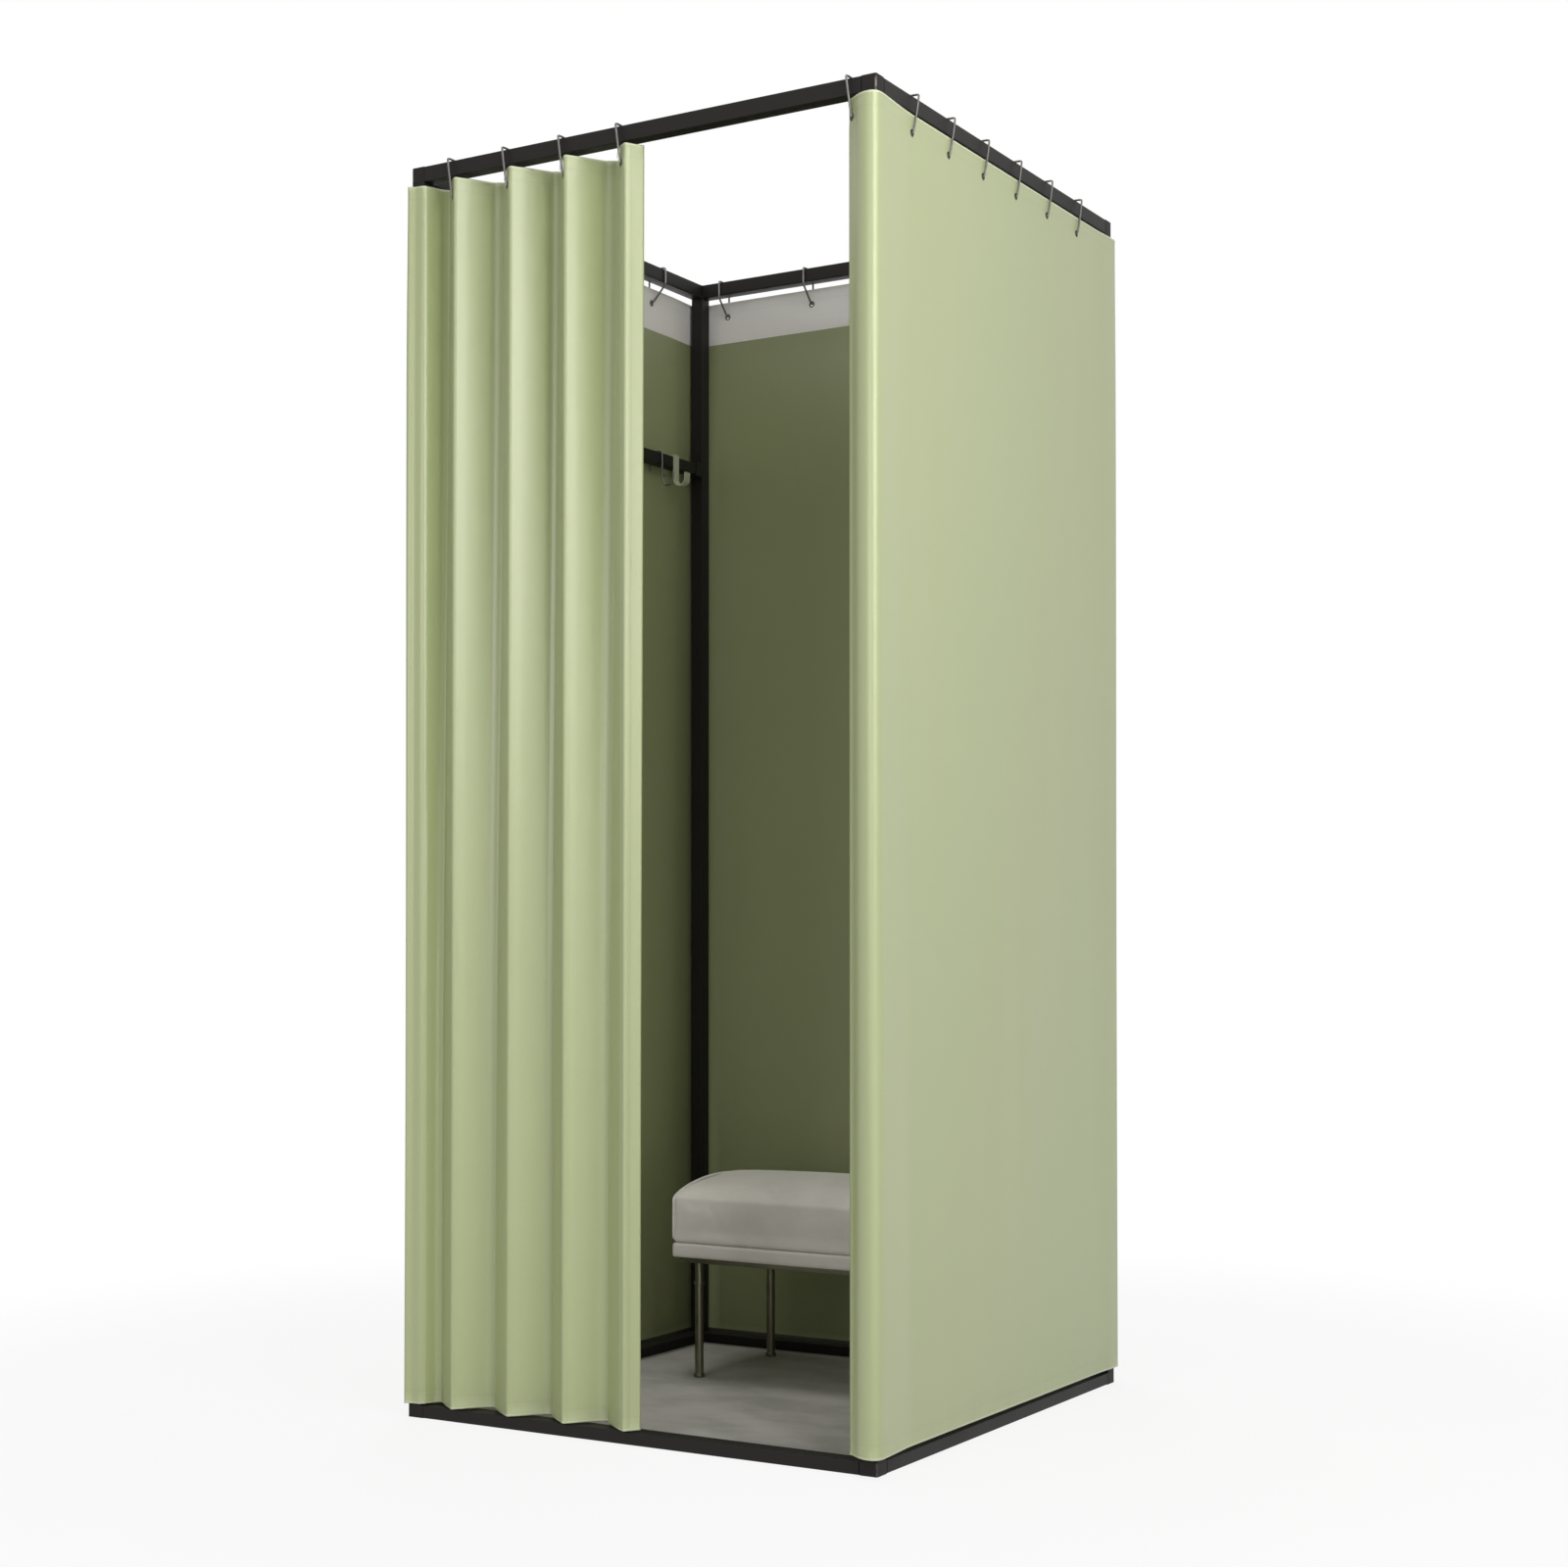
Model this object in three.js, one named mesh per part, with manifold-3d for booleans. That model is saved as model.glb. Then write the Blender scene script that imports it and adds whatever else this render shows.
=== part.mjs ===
// Portable fitting room: a square steel frame hung with curtains on wire rings,
// with a floor mat, a hanging rail with two hooks, and an upholstered bench inside.
// Millimetres, +Z up. The origin is on the floor at the middle of the base, and the doorway faces -Y.

import * as THREE from 'three';
import Module from 'manifold-3d';
import { mergeVertices } from 'three/addons/utils/BufferGeometryUtils.js';

const wasm = await Module();
wasm.setup();

// Frame sizes
const roomWidth = 850;
const roomDepth = 850;
const roomHeight = 2000;
const tubeSide = 25;
const tubeWall = 1.5;
const tubeCornerRadius = 2;
const tubeInnerRadius = 0.6;
const baseTubeWidth = 30;
const baseTubeHeight = 20;
const spigotLength = 45;
const spigotLeadIn = 6;
const seatGap = 0.3;

// Curtain sizes
const clothThickness = 2;
const clothStandOff = 4;
const clothTopGap = 7;
const clothBottomGap = 8;
const clothCornerRadius = 14;
const clothSeamGap = 0.4;
const backSeamInset = 38;
const eyeletDrop = 35;
const eyeletDiameter = 7;
const eyeletDepth = 12;

// Door curtain and doorway
const firstRingInset = 88;
const pleatPitch = 108;
const pleatDepth = 84;
const doorRingCount = 4;
const leadTail = 33;
const leadTailDepth = 14;
const returnLength = 47;
const returnFlat = 18;
const returnRoll = 17;
const sideRoll = 8;
const sideRollLength = 52;
const returnRingInset = 36;

// Curtain rings
const wireDiameter = 4;
const wireBend = 4;
const ringSideGap = 0.5;
const frontRingLean = 9;
const rightRingLean = 18;
const rightRingCount = 6;
const rightRingFrontInset = 99;
const rightRingBackInset = 161;
const backRingCount = 5;
const backRingLeftInset = 64;
const backRingRightInset = 48;
const leftRingCount = 4;
const leftRingInset = 155;

// Floor mat, hanging rail and hooks
const matThickness = 3;
const matGap = 0.5;
const railSide = 22;
const railDrop = 353;
const railSocketSide = 27;
const railSocketDepth = 20;
const railSocketBase = 4;
const strapWidth = 16;
const strapThickness = 2.5;
const strapBackDrop = 8;
const strapFrontDrop = 32;
const strapCurl = 11;
const strapInset = 115;
const hookWireDiameter = 4;
const hookWireBackDrop = 12;
const hookWireFrontDrop = 40;
const hookWireCurl = 12;
const hookWireInset = 163;

// Bench
const benchLength = 480;
const benchDepth = 310;
const benchBackInset = 61;
const benchUnderside = 212;
const boardThickness = 24;
const cushionHeight = 75;
const cushionCrown = 24;
const cushionCornerRadius = 26;
const cushionInset = 5;
const rimWidth = 48;
const rimThickness = 8;
const rimInset = 2;
const rimCornerRadius = 12;
const legInset = 35;
const legDiameter = 15;
const legFootDiameter = 19;
const legFootHeight = 6;
const legFlangeDiameter = 26;
const legFlangeHeight = 3;
const legCollarDiameter = 18;
const legCollarHeight = 5;
const legCollarDrop = 36;

// Shape choices: counts of steps and shares of the sizes above
const tubeCornerSteps = 1;
const wireSides = 6;
const bendSteps = 2;
const eyeletSides = 12;
const curveSteps = 2;
const cornerSteps = 5;
const legSides = 16;
const spigotTipShare = 0.86;
const pleatShares = [
  [-0.167, 1], [-0.106, 0.714], [-0.093, 0.405], [-0.074, 0.143], [0, 0],
  [0.13, 0.036], [0.352, 0.214], [0.537, 0.369], [0.676, 0.548], [0.75, 0.81], [0.833, 1],
];
const ridgeStep = 4;
const valleyLeadShares = [[0.28, 0.0], [0.6, 0.3], [0.82, 0.72], [1, 1]];
const rollShares = [[0, 0.02], [0.36, 0.6], [0.7, 1], [1, 0.93]];
const sideRollShares = [[0, 1], [0.3, 0.95], [0.62, 0.4], [1, 0]];
const cushionSideShares = [[0, 0.75], [0.08, 0.25], [0.35, 0], [0.72, 0.08], [0.9, 0.45], [1, 1.3]];
const crownShares = [0.9, 0.76, 0.58, 0.38, 0.18];
const crownPower = 2.4;

// Places worked out from the sizes
const frontFace = -roomDepth / 2;
const backFace = roomDepth / 2;
const leftFace = -roomWidth / 2;
const rightFace = roomWidth / 2;
const railUnderside = roomHeight - tubeSide;
const clothTop = railUnderside - clothTopGap;
const clothBottom = baseTubeHeight + clothBottomGap;
const clothOffset = clothStandOff + clothThickness / 2;
const clothFront = frontFace - clothOffset;
const clothBack = backFace + clothOffset;
const clothLeft = leftFace - clothOffset;
const clothRight = rightFace + clothOffset;
const eyeletHeight = railUnderside - eyeletDrop;
const railHeight = roomHeight - railDrop;
const firstRing = leftFace + firstRingInset;
const matTop = matThickness;
const benchBack = backFace - benchBackInset;
const benchMiddle = benchBack - benchDepth / 2;

const finishes = {
  powderCoat: { color: 0x2d2a26, roughness: 0.55, metalness: 0.3 },
  connector: { color: 0x2b2926, roughness: 0.6, metalness: 0 },
  cloth: { color: 0xafbb8a, roughness: 0.85, metalness: 0 },
  wire: { color: 0xbebcb9, roughness: 0.3, metalness: 1 },
  mat: { color: 0x787670, roughness: 0.95, metalness: 0 },
  strap: { color: 0x8d9678, roughness: 0.5, metalness: 0.2 },
  upholstery: { color: 0x8c8884, roughness: 0.9, metalness: 0 },
  legMetal: { color: 0x5a5a4c, roughness: 0.25, metalness: 1 },
};

const fittingRoom = new THREE.Group();

function addPiece(name, geometry, finish, parent = fittingRoom) {
  const piece = new THREE.Mesh(geometry, new THREE.MeshStandardMaterial(finish));
  piece.name = name;
  parent.add(piece);
  return piece;
}

// Solid helpers

function toSolid(geometry) {
  const bare = geometry.clone();
  bare.deleteAttribute('normal');
  bare.deleteAttribute('uv');
  const merged = mergeVertices(bare);
  return new wasm.Manifold(new wasm.Mesh({
    numProp: 3,
    vertProperties: new Float32Array(merged.attributes.position.array),
    triVerts: new Uint32Array(merged.index.array),
  }));
}

function toGeometry(solid) {
  const mesh = solid.getMesh();
  const geometry = new THREE.BufferGeometry();
  geometry.setAttribute('position', new THREE.BufferAttribute(mesh.vertProperties, 3));
  geometry.setIndex(new THREE.BufferAttribute(mesh.triVerts, 1));
  geometry.computeVertexNormals();
  return geometry;
}

function drawRoundedRectangle(path, width, height, radius) {
  const x = width / 2 - radius;
  const y = height / 2 - radius;
  const quarter = Math.PI / 2;
  path.absarc(x, y, radius, 0, quarter, false);
  path.absarc(-x, y, radius, quarter, 2 * quarter, false);
  path.absarc(-x, -y, radius, 2 * quarter, 3 * quarter, false);
  path.absarc(x, -y, radius, 3 * quarter, 4 * quarter, false);
  path.closePath();
  return path;
}

function roundedBar(width, height, radius, length) {
  const section = drawRoundedRectangle(new THREE.Shape(), width, height, radius);
  return new THREE.ExtrudeGeometry(section, {
    depth: length, bevelEnabled: false, curveSegments: tubeCornerSteps,
  });
}

// A hollow tube along +Z, with its corners rounded inside and out.
function hollowTube(width, height, length) {
  const section = drawRoundedRectangle(new THREE.Shape(), width, height, tubeCornerRadius);
  section.holes.push(drawRoundedRectangle(
    new THREE.Path(), width - 2 * tubeWall, height - 2 * tubeWall, tubeInnerRadius,
  ));
  return new THREE.ExtrudeGeometry(section, {
    depth: length, bevelEnabled: false, curveSegments: tubeCornerSteps,
  });
}

// A spigot along +Z that fills a tube's bore and narrows over its lead-in.
function spigot(tubeWidth, tubeHeight, rootDepth) {
  const width = tubeWidth - 2 * tubeWall - 2 * seatGap;
  const height = tubeHeight - 2 * tubeWall - 2 * seatGap;
  const geometry = new THREE.BoxGeometry(width, height, spigotLength, 1, 1, 2);
  const position = geometry.attributes.position;
  for (let i = 0; i < position.count; i += 1) {
    const end = position.getZ(i);
    const tip = end > 0 ? spigotTipShare : 1;
    const reach = end < 0 ? -rootDepth : spigotLength - (end > 0 ? 0 : spigotLeadIn);
    position.setXYZ(i, position.getX(i) * tip, position.getY(i) * tip, reach);
  }
  return geometry;
}

function alongX(geometry) {
  return geometry.rotateY(Math.PI / 2);
}

function alongY(geometry) {
  return geometry.rotateX(-Math.PI / 2);
}

function alongMinusZ(geometry) {
  return geometry.rotateX(Math.PI);
}

// Frame: four posts, a ring of top rails, a ring of base rails and three-way corner connectors

const corners = [
  { name: 'front_left', x: leftFace, y: frontFace, turn: 0 },
  { name: 'front_right', x: rightFace, y: frontFace, turn: Math.PI / 2 },
  { name: 'back_right', x: rightFace, y: backFace, turn: Math.PI },
  { name: 'back_left', x: leftFace, y: backFace, turn: 1.5 * Math.PI },
];

// Both connectors are drawn for the front left corner, with that corner at the origin.
function topConnector() {
  const half = tubeSide / 2;
  const block = roundedBar(tubeSide, tubeSide, tubeCornerRadius, tubeSide);
  block.translate(half, half, railUnderside);
  const middle = railUnderside + half;
  const overX = alongX(spigot(tubeSide, tubeSide, half)).translate(tubeSide, half, middle);
  const overY = alongY(spigot(tubeSide, tubeSide, half)).translate(half, tubeSide, middle);
  const down = alongMinusZ(spigot(tubeSide, tubeSide, half)).translate(half, half, railUnderside);
  return toGeometry(toSolid(block).add(toSolid(overX)).add(toSolid(overY)).add(toSolid(down)));
}

function baseConnector() {
  const half = baseTubeWidth / 2;
  const block = roundedBar(baseTubeWidth, baseTubeWidth, tubeCornerRadius, baseTubeHeight);
  block.translate(half, half, 0);
  const middle = baseTubeHeight / 2;
  const overX = alongX(spigot(baseTubeHeight, baseTubeWidth, half)).translate(baseTubeWidth, half, middle);
  const overY = alongY(spigot(baseTubeWidth, baseTubeHeight, half)).translate(half, baseTubeWidth, middle);
  const postMiddle = tubeSide / 2;
  const up = spigot(tubeSide, tubeSide, middle).translate(postMiddle, postMiddle, baseTubeHeight);
  return toGeometry(toSolid(block).add(toSolid(overX)).add(toSolid(overY)).add(toSolid(up)));
}

for (const corner of corners) {
  const group = new THREE.Group();
  group.position.set(corner.x, corner.y, 0);
  group.rotation.z = corner.turn;
  fittingRoom.add(group);
  addPiece(`top_corner_connector_${corner.name}`, topConnector(), finishes.connector, group);
  addPiece(`base_corner_connector_${corner.name}`, baseConnector(), finishes.connector, group);
  const tube = hollowTube(tubeSide, tubeSide, railUnderside - baseTubeHeight - 2 * seatGap);
  const post = addPiece(`post_${corner.name}`, tube, finishes.powderCoat, group);
  post.position.set(tubeSide / 2, tubeSide / 2, baseTubeHeight + seatGap);
}

function addRails(level, width, height, middle) {
  const lengthX = roomWidth - 2 * width - 2 * seatGap;
  const lengthY = roomDepth - 2 * width - 2 * seatGap;
  const inset = width / 2;
  for (const [side, y] of [['front', frontFace + inset], ['back', backFace - inset]]) {
    const tube = alongX(hollowTube(height, width, lengthX));
    const rail = addPiece(`${level}_rail_${side}`, tube, finishes.powderCoat);
    rail.position.set(-lengthX / 2, y, middle);
  }
  for (const [side, x] of [['left', leftFace + inset], ['right', rightFace - inset]]) {
    const tube = alongY(hollowTube(width, height, lengthY));
    const rail = addPiece(`${level}_rail_${side}`, tube, finishes.powderCoat);
    rail.position.set(x, -lengthY / 2, middle);
  }
}

addRails('top', tubeSide, tubeSide, railUnderside + tubeSide / 2);
addRails('base', baseTubeWidth, baseTubeHeight, baseTubeHeight / 2);

// Floor mat inside the base ring
const matWidth = roomWidth - 2 * baseTubeWidth - 2 * matGap;
const matDepth = roomDepth - 2 * baseTubeWidth - 2 * matGap;
addPiece('floor_mat', roundedBar(matWidth, matDepth, tubeCornerRadius, matThickness), finishes.mat);

// Curtain sheets: a path in plan, given the cloth's thickness and drop

// The outline is offset to both sides of the path. The ends are cut square to endNormals.
function clothSheet(path, endNormals) {
  const half = clothThickness / 2;
  const leftSide = [];
  const rightSide = [];
  const last = path.length - 1;
  path.forEach((point, i) => {
    const before = path[Math.max(i - 1, 0)];
    const after = path[Math.min(i + 1, last)];
    const along = after.clone().sub(before).normalize();
    let across = new THREE.Vector2(-along.y, along.x);
    if (i === 0 && endNormals[0]) across = endNormals[0];
    if (i === last && endNormals[1]) across = endNormals[1];
    leftSide.push(point.clone().addScaledVector(across, half));
    rightSide.push(point.clone().addScaledVector(across, -half));
  });
  const outline = new THREE.Shape([...leftSide, ...rightSide.reverse()]);
  const depth = clothTop - clothBottom;
  const geometry = new THREE.ExtrudeGeometry(outline, { depth, bevelEnabled: false });
  return toSolid(geometry.translate(0, 0, clothBottom));
}

function smoothPath(points) {
  return new THREE.SplineCurve(points).getPoints((points.length - 1) * curveSteps);
}

function cornerArc(x, y, fromAngle, toAngle) {
  const path = [];
  for (let i = 0; i <= cornerSteps; i += 1) {
    const angle = fromAngle + ((toAngle - fromAngle) * i) / cornerSteps;
    path.push(new THREE.Vector2(
      x + clothCornerRadius * Math.cos(angle), y + clothCornerRadius * Math.sin(angle),
    ));
  }
  return path;
}

// An eyelet's cutter runs across the cloth: along Y in a front or back sheet, along X in a side sheet.
function cutEyelets(sheet, places) {
  let cut = sheet;
  for (const place of places) {
    const radius = eyeletDiameter / 2;
    const hole = new THREE.CylinderGeometry(radius, radius, eyeletDepth, eyeletSides);
    if (place.wall === 'side') hole.rotateZ(Math.PI / 2);
    cut = cut.subtract(toSolid(hole.translate(place.x, place.y, eyeletHeight)));
  }
  return toGeometry(cut);
}

function rowOf(count, start, end) {
  return Array.from({ length: count }, (unused, i) => start + (i * (end - start)) / (count - 1));
}

const doorRings = rowOf(doorRingCount, firstRing, firstRing + (doorRingCount - 1) * pleatPitch);
const rightRings = rowOf(rightRingCount, frontFace + rightRingFrontInset, backFace - rightRingBackInset);
const backRings = rowOf(backRingCount, leftFace + backRingLeftInset, rightFace - backRingRightInset);
const leftRings = rowOf(leftRingCount, frontFace + leftRingInset, backFace - leftRingInset);
const returnRing = rightFace - returnRingInset;
const backSeam = backFace - backSeamInset;

// Right wall: from the doorway round the front right corner, where the cloth rolls proud of the
// post, and back along the right side to the seam near the back corner.
function rightWallPath() {
  const edge = rightFace - returnLength;
  const rollStart = edge + returnFlat;
  const rollRun = clothRight + sideRoll - rollStart;
  const front = [new THREE.Vector2(edge, clothFront)];
  const roll = rollShares.map(([along, out]) => new THREE.Vector2(
    rollStart + along * (rollRun - sideRoll), clothFront - out * returnRoll,
  ));
  const side = sideRollShares.map(([along, out]) => new THREE.Vector2(
    clothRight + out * sideRoll, clothFront - sideRoll + along * (sideRollLength + sideRoll),
  ));
  const seam = new THREE.Vector2(clothRight, backSeam - clothSeamGap);
  return [...front, ...smoothPath([...roll, ...side]), seam];
}

const alongWall = new THREE.Vector2(1, 0);
const acrossFront = new THREE.Vector2(0, 1);

addPiece('curtain_right_wall', cutEyelets(
  clothSheet(rightWallPath(), [acrossFront, alongWall.clone().negate()]),
  [
    { x: returnRing, y: clothFront, wall: 'front' },
    ...rightRings.map((y) => ({ x: clothRight, y, wall: 'side' })),
  ],
), finishes.cloth);

// Back wall: from the right seam round both back corners to the left seam.
function backWallPath() {
  const cornerX = clothRight - clothCornerRadius;
  const cornerY = clothBack - clothCornerRadius;
  return [
    new THREE.Vector2(clothRight, backSeam),
    ...cornerArc(cornerX, cornerY, 0, Math.PI / 2),
    ...cornerArc(-cornerX, cornerY, Math.PI / 2, Math.PI),
    new THREE.Vector2(clothLeft, backSeam),
  ];
}

addPiece('curtain_back_wall', cutEyelets(
  clothSheet(backWallPath(), [alongWall.clone().negate(), alongWall]),
  backRings.map((x) => ({ x, y: clothBack, wall: 'front' })),
), finishes.cloth);

// Left wall: from the back seam round the front left corner and into the first valley of the door.
function leftWallPath() {
  const cornerX = clothLeft + clothCornerRadius;
  const cornerY = clothFront + clothCornerRadius;
  const postEdge = leftFace + tubeSide + clothStandOff;
  const valley = firstRing + pleatShares[0][0] * pleatPitch - clothSeamGap / 2;
  const lead = valleyLeadShares.map(([along, depth]) => new THREE.Vector2(
    postEdge + along * (valley - postEdge), clothFront + depth * pleatDepth,
  ));
  return [
    new THREE.Vector2(clothLeft, backSeam - clothSeamGap),
    ...cornerArc(cornerX, cornerY, Math.PI, 1.5 * Math.PI),
    new THREE.Vector2(postEdge, clothFront),
    ...smoothPath(lead),
  ];
}

addPiece('curtain_left_wall', cutEyelets(
  clothSheet(leftWallPath(), [alongWall, acrossFront]),
  leftRings.map((y) => ({ x: clothLeft, y, wall: 'side' })),
), finishes.cloth);

// Door curtain: one pleat for each ring, from valley to valley, and a short tail past the last ring.
function doorPleatPath(ringX, isLead) {
  const points = pleatShares.map(([along, depth]) => new THREE.Vector2(
    ringX + along * pleatPitch, clothFront + depth * pleatDepth,
  ));
  points[0].x += clothSeamGap / 2;
  if (!isLead) {
    points[points.length - 1].x -= clothSeamGap / 2;
    return smoothPath(points);
  }
  const tail = new THREE.Vector2(ringX + leadTail, clothFront + leadTailDepth);
  return smoothPath([...points.slice(0, ridgeStep + 2), tail]);
}

doorRings.forEach((ringX, i) => {
  const isLead = i === doorRingCount - 1;
  const endNormals = [acrossFront, isLead ? null : acrossFront];
  addPiece(`door_curtain_pleat_${i + 1}`, cutEyelets(
    clothSheet(doorPleatPath(ringX, isLead), endNormals),
    [{ x: ringX, y: clothFront, wall: 'front' }],
  ), finishes.cloth);
});

// Wire pieces

function roundCorners(points, closed) {
  const path = [];
  const last = points.length - 1;
  points.forEach((point, i) => {
    if (!closed && (i === 0 || i === last)) {
      path.push(point);
      return;
    }
    const before = points[(i + last) % points.length];
    const after = points[(i + 1) % points.length];
    const reach = Math.min(wireBend, point.distanceTo(before) / 2, point.distanceTo(after) / 2);
    const enter = point.clone().add(before.clone().sub(point).setLength(reach));
    const leave = point.clone().add(after.clone().sub(point).setLength(reach));
    path.push(...new THREE.QuadraticBezierCurve3(enter, point, leave).getPoints(bendSteps));
  });
  return path;
}

// A round wire swept along a path in the XZ plane that may lean along Y.
function sweptWire(path, diameter, closed) {
  const positions = [];
  const faces = [];
  const count = path.length;
  path.forEach((point, i) => {
    const before = closed ? path[(i + count - 1) % count] : path[Math.max(i - 1, 0)];
    const after = closed ? path[(i + 1) % count] : path[Math.min(i + 1, count - 1)];
    const along = after.clone().sub(before).normalize();
    const side = new THREE.Vector3(0, 1, 0).addScaledVector(along, -along.y).normalize();
    const across = new THREE.Vector3().crossVectors(side, along);
    for (let j = 0; j < wireSides; j += 1) {
      const angle = (2 * Math.PI * j) / wireSides;
      const vertex = point.clone();
      vertex.addScaledVector(across, (Math.cos(angle) * diameter) / 2);
      vertex.addScaledVector(side, (Math.sin(angle) * diameter) / 2);
      positions.push(vertex.x, vertex.y, vertex.z);
    }
  });
  const spans = closed ? count : count - 1;
  for (let i = 0; i < spans; i += 1) {
    for (let j = 0; j < wireSides; j += 1) {
      const a = i * wireSides + j;
      const b = i * wireSides + ((j + 1) % wireSides);
      const c = ((i + 1) % count) * wireSides + j;
      const d = ((i + 1) % count) * wireSides + ((j + 1) % wireSides);
      faces.push(a, b, c, b, d, c);
    }
  }
  if (!closed) {
    const end = (count - 1) * wireSides;
    for (let j = 1; j < wireSides - 1; j += 1) {
      faces.push(0, j + 1, j, end, end + j, end + j + 1);
    }
  }
  const geometry = new THREE.BufferGeometry();
  geometry.setAttribute('position', new THREE.Float32BufferAttribute(positions, 3));
  geometry.setIndex(faces);
  geometry.computeVertexNormals();
  return geometry;
}

// A curtain ring is drawn with its outward side along +X and its rail along Y. It lies over the
// rail, hangs down both sides of it and passes through the eyelet below.
function curtainRing(lean) {
  const radius = wireDiameter / 2;
  const half = tubeSide / 2;
  const beside = half + ringSideGap + radius;
  const top = roomHeight + seatGap + radius;
  const outside = half + clothStandOff + clothThickness + ringSideGap + radius;
  const inside = half + clothStandOff - ringSideGap - radius;
  const place = (x, z) => new THREE.Vector3(x, (lean * (z - eyeletHeight)) / (top - eyeletHeight), z);
  return sweptWire(roundCorners([
    place(outside, top),
    place(outside, eyeletHeight),
    place(inside, eyeletHeight),
    place(-beside, railUnderside - wireDiameter),
    place(-beside, top),
  ], true), wireDiameter, true);
}

function addRing(name, x, y, turn, lean) {
  const ring = addPiece(name, curtainRing(lean), finishes.wire);
  ring.position.set(x, y, 0);
  ring.rotation.z = turn;
}

const halfTube = tubeSide / 2;
doorRings.forEach((x, i) => {
  addRing(`door_curtain_ring_${i + 1}`, x, frontFace + halfTube, -Math.PI / 2, -frontRingLean);
});
addRing('doorway_edge_ring', returnRing, frontFace + halfTube, -Math.PI / 2, -frontRingLean);
rightRings.forEach((y, i) => {
  addRing(`right_wall_ring_${i + 1}`, rightFace - halfTube, y, 0, rightRingLean);
});
backRings.forEach((x, i) => {
  addRing(`back_wall_ring_${i + 1}`, x, backFace - halfTube, Math.PI / 2, 0);
});
leftRings.forEach((y, i) => {
  addRing(`left_wall_ring_${i + 1}`, leftFace + halfTube, y, Math.PI, 0);
});

// Hanging rail between the two left posts, held in a socket at each end
const railX = leftFace + halfTube;
const postInnerFace = roomDepth / 2 - tubeSide;
const railEnd = postInnerFace - railSocketBase - 2 * seatGap;

function railSocket() {
  const outer = roundedBar(railSocketSide, railSocketSide, tubeCornerRadius, railSocketDepth);
  const bore = railSide + 2 * seatGap;
  const inner = roundedBar(bore, bore, tubeCornerRadius, railSocketDepth);
  inner.translate(0, 0, railSocketBase);
  return toGeometry(toSolid(outer).subtract(toSolid(inner)));
}

const railTube = alongY(hollowTube(railSide, railSide, 2 * railEnd));
const rail = addPiece('hanging_rail', railTube, finishes.powderCoat);
rail.position.set(railX, -railEnd, railHeight);
for (const [side, way, turn] of [['front', -1, -Math.PI / 2], ['back', 1, Math.PI / 2]]) {
  const socket = addPiece(`hanging_rail_socket_${side}`, railSocket(), finishes.connector);
  socket.position.set(railX, way * (postInnerFace - seatGap), railHeight);
  socket.rotation.x = turn;
}

// Strap hook: a flat bar bent over the rail, with its free end curled up to hold a hanger
function strapHook() {
  const inner = railSide / 2 + seatGap;
  const outer = inner + strapThickness;
  const bend = strapThickness;
  const foot = -railSide / 2 - strapFrontDrop + strapCurl;
  const backEnd = -railSide / 2 - strapBackDrop;
  const outline = new THREE.Shape();
  outline.moveTo(-outer, backEnd);
  outline.lineTo(-outer, outer - bend);
  outline.absarc(-outer + bend, outer - bend, bend, Math.PI, Math.PI / 2, true);
  outline.lineTo(outer - bend, outer);
  outline.absarc(outer - bend, outer - bend, bend, Math.PI / 2, 0, true);
  outline.lineTo(outer, foot);
  outline.absarc(outer + strapCurl, foot, strapCurl, Math.PI, 2 * Math.PI, false);
  outline.lineTo(outer + 2 * strapCurl, foot + strapCurl);
  outline.lineTo(outer + 2 * strapCurl + strapThickness, foot + strapCurl);
  outline.lineTo(outer + 2 * strapCurl + strapThickness, foot);
  outline.absarc(outer + strapCurl, foot, strapCurl + strapThickness, 2 * Math.PI, Math.PI, true);
  outline.lineTo(inner, inner);
  outline.lineTo(-inner, inner);
  outline.lineTo(-inner, backEnd);
  outline.closePath();
  const geometry = new THREE.ExtrudeGeometry(outline, {
    depth: strapWidth, bevelEnabled: false, curveSegments: cornerSteps,
  });
  return geometry.translate(0, 0, -strapWidth / 2).rotateX(Math.PI / 2);
}

const strap = addPiece('rail_strap_hook', strapHook(), finishes.strap);
strap.position.set(railX, backFace - strapInset, railHeight);

// Wire hook: a bent wire with a squared loop over the rail and a curl below
function wireHook() {
  const beside = railSide / 2 + seatGap + hookWireDiameter / 2;
  const foot = -railSide / 2 - hookWireFrontDrop;
  const curl = 2 * hookWireCurl;
  const points = [
    [-beside, -railSide / 2 - hookWireBackDrop],
    [-beside, beside],
    [beside, beside],
    [beside, foot + hookWireCurl],
    [beside + hookWireCurl / 2, foot],
    [beside + curl - hookWireCurl / 2, foot],
    [beside + curl, foot + hookWireCurl],
    [beside + curl, foot + curl],
  ];
  return sweptWire(
    roundCorners(points.map(([x, z]) => new THREE.Vector3(x, 0, z)), false), hookWireDiameter, false,
  );
}

const hook = addPiece('rail_wire_hook', wireHook(), finishes.wire);
hook.position.set(railX, backFace - hookWireInset, railHeight);

// Bench: a crowned cushion on an upholstered board, a steel rim and four turned legs
const bench = new THREE.Group();
bench.position.set(0, benchMiddle, 0);
fittingRoom.add(bench);

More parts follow.
